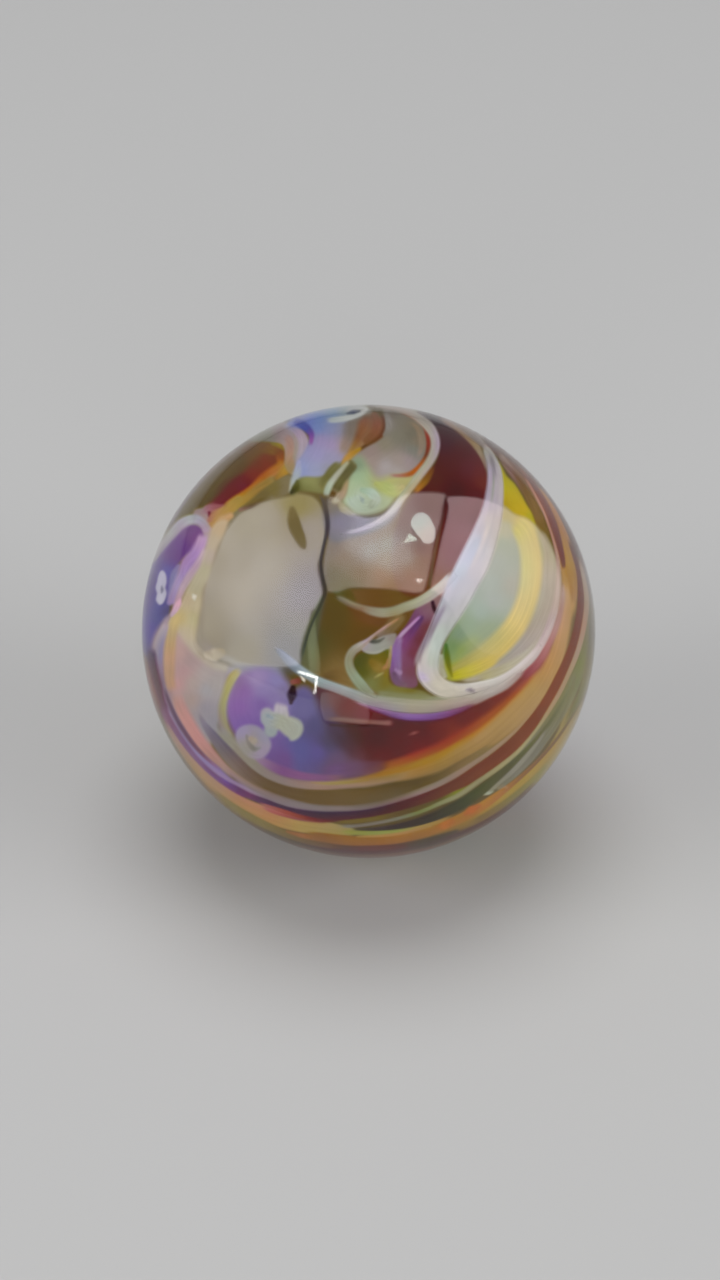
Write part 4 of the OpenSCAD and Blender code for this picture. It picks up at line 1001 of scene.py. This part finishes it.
BACK_LINES = [
    ("white ribbon", -66, 225.0, 17.0, 1.3, "a89c94 b4aca8 bcb8b4 c0bcb8 c4c4bc c8c4bc"),
    ("lilac line", -57, 215.0, 5.0, 1.0, "8c6c94 8c689c 9070a4 a084b0 a88cb0"),
    ("blue white sheen", -69, 222.0, 5.0, 1.6, "b0b0bc b4bcc8 b8bccc c0c4c8 c4c4c4"),
    ("scarlet thread", -74, 218.0, 3.6, 1.0, "843424 94381c 9c4424 a05c34"),
    ("loop", 116, 235.0, 12.0, 1.2, "9c9080 a89c90 b0a898 b4b0a4 b8b8b0 bcb8b0"),
    ("peach line", 124, 230.0, 4.0, 1.0, "a87c68 b07c6c b88878 b48c84 b89888"),
    ("dark line", 110, 228.0, 5.0, 1.2, "5c3c38 50282c 44202c 3c1c30 40243c"),
    ("pink grey line", 22, 215.0, 8.0, 1.2, "8c8070 948878 948c80 9c8c84 a49890"),
    ("plum line", 31, 220.0, 9.0, 1.2, "6c3c24 5c2420 4c1c2c 40203c 3c2448"),
    ("yellow line", 40, 226.0, 5.0, 1.2, "b0a048 bca838 c4b04c c8b868 ccc08c"),
    ("gold thread", -98, 210.0, 8.0, 1.4, "8c6c48 a07c40 a88444 b08c4c b49454"),
    ("copper line", -104, 214.0, 4.0, 1.0, "74442c 84502c 8c5830 94643c"),
    ("pale thread", 172, 220.0, 7.0, 1.2, "8c7c90 988ca0 a098ac a8a4b4 b0b0b8"),
    ("indigo line", -178, 222.0, 6.0, 1.2, "443c88 3c3c94 4440a0 5450a8 6460ac"),
    ("mustard line", -36, 212.0, 7.0, 1.6, "a88c30 b49828 bca42c c0a838 c4b04c"),
    ("brown line", -26, 208.0, 5.0, 1.2, "64301c 642c1c 5c2820 542820"),
    ("green thread", -14, 210.0, 9.0, 1.6, "6c7444 748450 7c9468 90a07c a0ac90"),
    ("cream thread", -10, 212.0, 3.0, 1.0, "a0a088 acac94 b4b4a0 b8b8a8"),
    ("tan thread", 74, 205.0, 6.0, 1.2, "947850 a0845c a48a64 a89070"),
    ("grey line", 84, 214.0, 4.0, 1.0, "7c7468 847c74 8c8480 948c8c"),
    ("olive white line", -138, 216.0, 7.0, 1.2, "90906c a0a484 acb094 b4b8a4 b8bcac"),
    ("moss line", -146, 220.0, 5.0, 1.2, "505428 4c5424 505c30 5c6840"),
    ("sky line", -122, 214.0, 6.0, 1.4, "8c98c0 9ca8c8 a8b4cc b4bccc bcc0cc"),
]

BACK_FRIT = [
    ("frit a", "-128,62,12 -116,68,18 -104,64,14", "a09ca4 a8a8a4 9ca09c"),
    ("frit b", "-120,82,8 -106,84,13 -94,78,9", "a098a8 acaca0 a0a498"),
    ("frit c", "96,-104,9 108,-98,14 118,-88,10", "b4bcb8 bcc0bc b0b4b0"),
    ("frit hollow", "104,-101,3 108,-98,5 112,-95,3", "787c84 686c7c 787c84"),
    ("frit d", "38,176,8 54,178,12 66,172,8", "b0a894 b8b09c aca490"),
]


def inward(start, sweep, width=0.0):
    """The route of a band of the far side, from its edge at the turn start round and in past its middle.
    With no width in px it takes up BAND_WIDEN times the room between the bands."""
    route = []
    for t in np.linspace(0.0, 1.0, INWARD_POINTS):
        sway = INWARD_SWAY * math.sin(INWARD_WAVES * t + start) * (1.0 - t)
        share = INWARD_START - INWARD_FALL * t**INWARD_BEND + sway
        following = INWARD_START - INWARD_FALL * min(t + INWARD_STEP, INWARD_END)**INWARD_BEND
        route.append((start + sweep * t, share, width or BAND_WIDEN * (share - following) * BACK_PX))
    return round_limb(route, BACK_PX)


def paint_back(art):
    art.set(blur=1.6, tone=1.0, vivid=1.04)
    for i, (name, left, right) in enumerate(BACK_BANDS):
        route = inward(BAND_START + BAND_TURN * i, BAND_SWEEP)
        art.brush("back " + name, BAND_SOFT, route, left, right, streak=BAND_STREAK)
    for name, start, sweep, width, blur, colours in BACK_LINES:
        art.set(blur=blur, tone=0.98, vivid=1.0)
        art.brush("back " + name, LINE_SOFT, inward(start, sweep, width), colours)
    art.set(blur=1.3, tone=1.0, vivid=1.0)
    for name, route, colours in BACK_FRIT:
        points = [(BALL_X + x, BALL_Y + y, width) for x, y, width in points_of(route)]
        art.brush("back " + name, FRIT_SOFT, points, colours)


# ---------------- meshes

def linear(colour):
    colour = np.clip(colour, 0.0, 1.0)
    return np.where(colour <= 0.04045, colour / 12.92, ((colour + 0.055) / 1.055)**2.4)


def fresnel(cosine):
    """How much of the light a polished glass face mirrors."""
    inside = np.sqrt(1.0 - (1.0 - cosine**2) / GLASS_IOR**2)
    across = (cosine - GLASS_IOR * inside) / (cosine + GLASS_IOR * inside)
    along_it = (inside - GLASS_IOR * cosine) / (inside + GLASS_IOR * cosine)
    return 0.5 * (across**2 + along_it**2)


def glass_colour(spots):
    """The colours of the swirl as linear colours. spots are in mm, on or near the core."""
    depth = np.linalg.norm(spots, axis=1)
    unit = spots / depth[:, None]
    low = to_picture(unit, CORE_DEPTH)
    high = to_picture(unit, CORE_DEPTH + RISE_SPAN)
    rise = (depth / R - CORE_DEPTH) / RISE_SPAN
    art = Canvas(*(a + (b - a) * rise for a, b in zip(low, high)), GROUND)
    paint_front(art)
    far = ease((np.degrees(from_axis(unit)) - LIMB_ANGLE) / FAR_MIX)
    behind = np.nonzero(far > 0.0)[0]
    if len(behind):
        back = Canvas(*to_back(unit[behind]), GROUND, pitch=BACK_PITCH)
        paint_back(back)
        art.colour[behind] += (back.colour - art.colour[behind]) * far[behind, None]
    return np.clip(without(linear(art.colour), SHEEN), DARKEST, PALEST)


def disc_grid(n):
    """A square grid laid onto the unit disc with even spacing."""
    u, v = np.meshgrid(np.linspace(-1.0, 1.0, n + 1), np.linspace(-1.0, 1.0, n + 1))
    wide = np.abs(u) >= np.abs(v)
    radius = np.where(wide, u, v)
    safe = np.where(np.abs(radius) < 1e-12, 1.0, radius)
    turn = np.where(wide, math.pi / 4 * v / safe, math.pi / 2 - math.pi / 4 * u / safe)
    return (radius * np.cos(turn)).ravel(), (radius * np.sin(turn)).ravel()


def grid_faces(rows, columns):
    corner = (np.arange(rows - 1)[:, None] * columns + np.arange(columns - 1)).ravel()
    return np.stack([corner, corner + 1, corner + columns + 1, corner + columns], axis=1).tolist()


def ring_faces(rows, columns):
    """The faces between closed rings of points, and the points of each ring and the ones beside them."""
    here = np.arange(rows * columns).reshape(rows, columns)
    beside = np.roll(here, -1, axis=1)
    faces = np.stack([here[:-1], beside[:-1], beside[1:], here[1:]], axis=2).reshape(-1, 4).tolist()
    return faces, here, beside


def in_scene(name, data):
    thing = bpy.data.objects.new(name, data)
    bpy.context.scene.collection.objects.link(thing)
    return thing


def add_mesh(name, spots, faces, colour=None, round_out=False):
    """An object from points in mm, with outward faces and the glass colours as a point attribute."""
    mesh = bpy.data.meshes.new(name)
    mesh.from_pydata((spots * MM).tolist(), [], faces)
    work = bmesh.new()
    work.from_mesh(mesh)
    bmesh.ops.recalc_face_normals(work, faces=work.faces)
    work.to_mesh(mesh)
    work.free()
    if colour is not None:
        paint = mesh.color_attributes.new("glass", "FLOAT_COLOR", "POINT")
        rgba = np.ones((len(spots), 4), np.float32)
        rgba[:, :3] = colour
        paint.data.foreach_set("color", rgba.ravel())
    mesh.shade_smooth()
    if round_out:
        outward = spots / np.linalg.norm(spots, axis=1)[:, None]
        mesh.normals_split_custom_set_from_vertices(outward.tolist())
    return in_scene(name, mesh)


def angle_at(rho):
    """The angle from the view axis at which the core shows rho px from the ball's middle in the picture."""
    radius_px, angle = sight_table(CORE_DEPTH)
    return float(np.interp(rho, radius_px, angle))


def picture_pace(start, stop):
    """Angles from start to stop, evenly spaced in the picture and not too far apart past the limb."""
    radius_px, angle = sight_table(CORE_DEPTH)
    fine = np.linspace(start, stop, PACE_STEPS)
    pace = np.hypot(np.gradient(np.interp(fine, angle, radius_px), fine), SPREAD_PX)
    run = np.concatenate([[0.0], np.cumsum(0.5 * (pace[1:] + pace[:-1]) * np.diff(fine))])
    return lambda share: np.interp(share * run[-1], run, fine)


def ball_cap(name, n, pole, angles):
    """A painted cap of the core, closed by a flat disc."""
    across, rise = disc_grid(n)
    spots = direction_at(angles(np.hypot(across, rise)), np.arctan2(rise, across), pole) * CORE_DEPTH * R
    here = np.arange((n + 1)**2).reshape(n + 1, n + 1)
    rim = np.concatenate([here[0], here[1:, -1], here[-1, -2::-1], here[-2:0:-1, 0]])
    faces = grid_faces(n + 1, n + 1) + [rim.tolist()]
    return add_mesh(name, spots, faces, glass_colour(spots), round_out=True)


def ball_zone(name, rows, columns, angles):
    """A painted zone of the core round its cap, closed by the cone inside it."""
    phi = np.repeat(angles(np.linspace(0.0, 1.0, rows)), columns)
    turn = np.tile(np.arange(columns) * 2.0 * math.pi / columns, rows)
    spots = direction_at(phi, turn) * CORE_DEPTH * R
    faces, here, beside = ring_faces(rows, columns)
    faces += np.stack([here[0], beside[0], beside[-1], here[-1]], axis=1).tolist()
    return add_mesh(name, spots, faces, glass_colour(spots), round_out=True)


def leaf(name, route):
    """A ribbon of coloured glass with a rounded back, lying half in the core along its route."""
    x, y, width = smooth_curve(points_of(route)).T[:3]
    dx, dy = np.gradient(x), np.gradient(y)
    length = np.hypot(dx, dy)
    s = np.linspace(-1.0, 1.0, LEAF_ACROSS)
    half = np.maximum(width, LEAF_LEAST) * LEAF_WIDTH / 2.0
    px = x[:, None] + (dy / length * half)[:, None] * s
    py = y[:, None] - (dx / length * half)[:, None] * s
    spots = to_ball(px.ravel(), py.ravel(), LEAF_EDGE).reshape(len(x), LEAF_ACROSS, 3)
    crown = (1.0 - s**2)**2 * np.minimum(half / LEAF_FULL_HALF, 1.0)[:, None]
    top = spots * (LEAF_EDGE + LEAF_CROWN * crown)[:, :, None]
    foot = spots * (LEAF_EDGE - LEAF_ROOT * crown)[:, :, None]
    rings = np.concatenate([top, foot[:, -2:0:-1]], axis=1) * R
    faces, here = ring_faces(*rings.shape[:2])[:2]
    faces += here[[0, -1]].tolist()
    spots = rings.reshape(-1, 3)
    return add_mesh(name, spots, faces, glass_colour(spots))


def polished_ball():
    mesh = bpy.data.meshes.new("polished_ball")
    work = bmesh.new()
    bmesh.ops.create_icosphere(work, subdivisions=BALL_SUBDIVISIONS, radius=R * MM)
    work.to_mesh(mesh)
    work.free()
    mesh.shade_smooth()
    return in_scene("polished_ball", mesh)


# ---------------- materials

def new_material(name):
    """A material that shows nothing yet, its node tree, and the socket for its shader."""
    material = bpy.data.materials.new(name)
    material.use_nodes = True
    tree = material.node_tree
    tree.nodes.clear()
    return material, tree, tree.nodes.new("ShaderNodeOutputMaterial").inputs["Surface"]


def add_node(tree, kind, wires=(), **values):
    """A node of a kind, with outputs wired to its inputs, and values on the inputs of the same names."""
    node = tree.nodes.new(kind)
    for name, value in values.items():
        node.inputs[name.replace("_", " ")].default_value = value
    for output, name in wires:
        tree.links.new(output, node.inputs[name])
    return node


def painted(tree):
    """The colours that a mesh carries."""
    paint = tree.nodes.new("ShaderNodeAttribute")
    paint.attribute_name = "glass"
    return paint.outputs["Color"]


def clouding(tree, scale, detail):
    """A cloudy noise by the place on the piece."""
    place = tree.nodes.new("ShaderNodeTexCoord").outputs["Object"]
    noise = add_node(tree, "ShaderNodeTexNoise", [(place, "Vector")], Scale=scale, Detail=detail)
    return noise.outputs["Fac"]


def spread(tree, cloud, **ends):
    """The noise spread over other ends."""
    return add_node(tree, "ShaderNodeMapRange", [(cloud, "Value")], **ends).outputs["Result"]


def swirl_material():
    """Opaque coloured glass: the painted colours with a little clouding and relief."""
    material, tree, surface = new_material("swirl_glass")
    cloud = clouding(tree, 420.0, 4.0)
    depth = spread(tree, cloud, From_Min=0.3, From_Max=0.7, To_Min=0.95, To_Max=1.05)
    tint = tree.nodes.new("ShaderNodeMix")
    tint.data_type = "RGBA"
    tint.blend_type = "MULTIPLY"
    tint.inputs["Factor"].default_value = 1.0
    tree.links.new(painted(tree), tint.inputs["A"])
    tree.links.new(depth, tint.inputs["B"])
    rough = spread(tree, cloud, To_Min=0.32, To_Max=0.48)
    bump = add_node(tree, "ShaderNodeBump", [(cloud, "Height")], Strength=0.12, Distance=0.0001)
    wires = [(tint.outputs["Result"], "Base Color"), (rough, "Roughness"),
             (bump.outputs["Normal"], "Normal")]
    glass = add_node(tree, "ShaderNodeBsdfPrincipled", wires, Specular_IOR_Level=0.0)
    tree.links.new(glass.outputs["BSDF"], surface)
    return material


def clear_material():
    """Clear polished glass. Light on its way to the swirl passes as through thin air."""
    material, tree, surface = new_material("clear_glass")
    rough = spread(tree, clouding(tree, 160.0, 3.0), To_Min=0.0, To_Max=0.03)
    glass = add_node(tree, "ShaderNodeBsdfPrincipled", [(rough, "Roughness")], IOR=GLASS_IOR,
                     Transmission_Weight=1.0, Base_Color=(1.0, 1.0, 1.0, 1.0))
    air = tree.nodes.new("ShaderNodeBsdfTransparent").outputs["BSDF"]
    path = tree.nodes.new("ShaderNodeLightPath")
    seen = glass.outputs["BSDF"]
    for ray in ("Is Shadow Ray", "Is Diffuse Ray"):
        choice = add_node(tree, "ShaderNodeMixShader", [(path.outputs[ray], "Fac"), (seen, 1), (air, 2)])
        seen = choice.outputs["Shader"]
    tree.links.new(seen, surface)
    return material


def floor_material():
    material, tree, surface = new_material("pale_floor")
    floor = add_node(tree, "ShaderNodeBsdfDiffuse", Color=(FLOOR_COLOUR, FLOOR_COLOUR, FLOOR_COLOUR, 1.0))
    tree.links.new(floor.outputs["BSDF"], surface)
    return material


def light_material():
    material, tree, surface = new_material("soft_box")
    glow = add_node(tree, "ShaderNodeEmission", [(painted(tree), "Color")])
    tree.links.new(glow.outputs["Emission"], surface)
    return material


# ---------------- the studio

def mirrored_by_glass(x, y):
    """What the polished glass mirrors to the camera at the picture points (x, y): spots in mm, up to
    BOX_DISTANCE away and over the floor, and the share of their light that it mirrors."""
    toward = axis_frame()[2]
    radius_px, angle = sight_table(1.0)
    theta = np.interp(np.hypot(x - BALL_X, BALL_Y - y), radius_px, angle)
    normal = direction_at(theta, np.arctan2(BALL_Y - y, x - BALL_X))
    ray = normal * R - toward * D
    ray /= np.linalg.norm(ray, axis=1)[:, None]
    facing = np.sum(ray * normal, axis=1)
    mirrored = ray - 2.0 * facing[:, None] * normal
    fall = np.maximum(-mirrored[:, 2], 1e-6)
    reach = np.minimum(BOX_DISTANCE, (R + normal[:, 2] * R - BOX_LIFT) / fall)
    return normal * R + mirrored * reach[:, None], fresnel(-facing)


def soft_box_card():
    """A bright card of soft boxes, placed where the polished glass mirrors it to the camera."""
    xs = np.arange(BOX_LEFT, BOX_RIGHT, BOX_STEP)
    ys = np.arange(BOX_TOP, BOX_FOOT, BOX_STEP)
    x, y = (grid.ravel() for grid in np.meshgrid(xs, ys))
    art = Canvas(x, y, "000000", streaks=0.0)
    art.paint(SOFT_BOXES)
    spots, share = mirrored_by_glass(x, y)
    veil = linear(art.colour) / share[:, None] + STUDIO_LEVEL
    keep = np.hypot(x - BALL_X, BALL_Y - y) < BALL_PX - BOX_RIM
    lit = art.colour.max(axis=1) > 0.0
    faces = np.array(grid_faces(len(ys), len(xs)))
    faces = faces[keep[faces].all(axis=1) & lit[faces].any(axis=1)]
    used, place = np.unique(faces, return_inverse=True)
    card = add_mesh("soft_boxes", spots[used], place.reshape(faces.shape).tolist(), veil[used])
    card.data.materials.append(light_material())
    card.visible_camera = False
    card.visible_diffuse = False
    card.visible_transmission = False
    card.visible_shadow = False


def lamp(name, direction, share):
    """A large soft lamp that gives the ball its share of the light, where 1 shows colours as written."""
    light = bpy.data.lights.new(name, "AREA")
    light.shape = "DISK"
    light.size = LAMP_SIZE * MM
    light.energy = share * (math.pi * LAMP_DISTANCE * MM)**2
    thing = in_scene(name, light)
    thing.location = Vector(direction).normalized() * LAMP_DISTANCE * MM
    thing.rotation_euler = (-thing.location).to_track_quat("-Z", "Y").to_euler()
    thing.visible_glossy = False
    thing.visible_transmission = False


def studio():
    world = bpy.data.worlds.new("studio")
    bpy.context.scene.world = world
    world.use_nodes = True
    sky = world.node_tree.nodes["Background"]
    sky.inputs["Color"].default_value = (STUDIO_LEVEL, STUDIO_LEVEL, STUDIO_LEVEL, 1.0)
    sky.inputs["Strength"].default_value = 1.0
    half = FLOOR_SIZE / 2.0
    spots = np.array([[-half, -half, -R], [half, -half, -R], [half, half, -R], [-half, half, -R]])
    floor = add_mesh("floor", spots, [[0, 1, 2, 3]])
    floor.data.materials.append(floor_material())
    for name, direction, share in LAMPS:
        lamp(name, direction, share)
    soft_box_card()


def camera():
    right, up, toward = (Vector(direction) for direction in axis_frame())
    lens = bpy.data.cameras.new("camera")
    lens.lens = LENS
    lens.sensor_width = SENSOR
    lens.clip_start = 0.01
    eye = in_scene("camera", lens)
    eye.location = toward * D * MM
    aim = (right * (PICTURE_W / 2 - BALL_X) + up * (BALL_Y - PICTURE_H / 2)) * D / FOCAL_PX * MM
    eye.rotation_euler = (aim - eye.location).to_track_quat("-Z", "Y").to_euler()
    bpy.context.scene.camera = eye


# ---------------- the marble

def dress(piece, material):
    piece.data.materials.append(material)
    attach(piece, "root")


def marble():
    swirl = swirl_material()
    brim = angle_at(CAP_PX)
    reach = math.radians(FRONT_REACH)
    rest = math.pi - reach
    dress(ball_cap("swirl_front", FRONT_GRID, 1, picture_pace(0.0, brim)), swirl)
    dress(ball_zone("swirl_side", ZONE_ROWS, ZONE_COLUMNS, picture_pace(brim, reach)), swirl)
    dress(ball_cap("swirl_back", BACK_GRID, -1, lambda share: share * rest), swirl)
    for ribbon in WHITE_RIBBONS:
        dress(leaf("ribbon_" + ribbon[0].replace(" ", "_"), ribbon[2]), swirl)
    shell = polished_ball()
    dress(shell, clear_material())
    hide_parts("marble")


bpy.context.scene.view_settings.view_transform = "Standard"
marble()
studio()
camera()
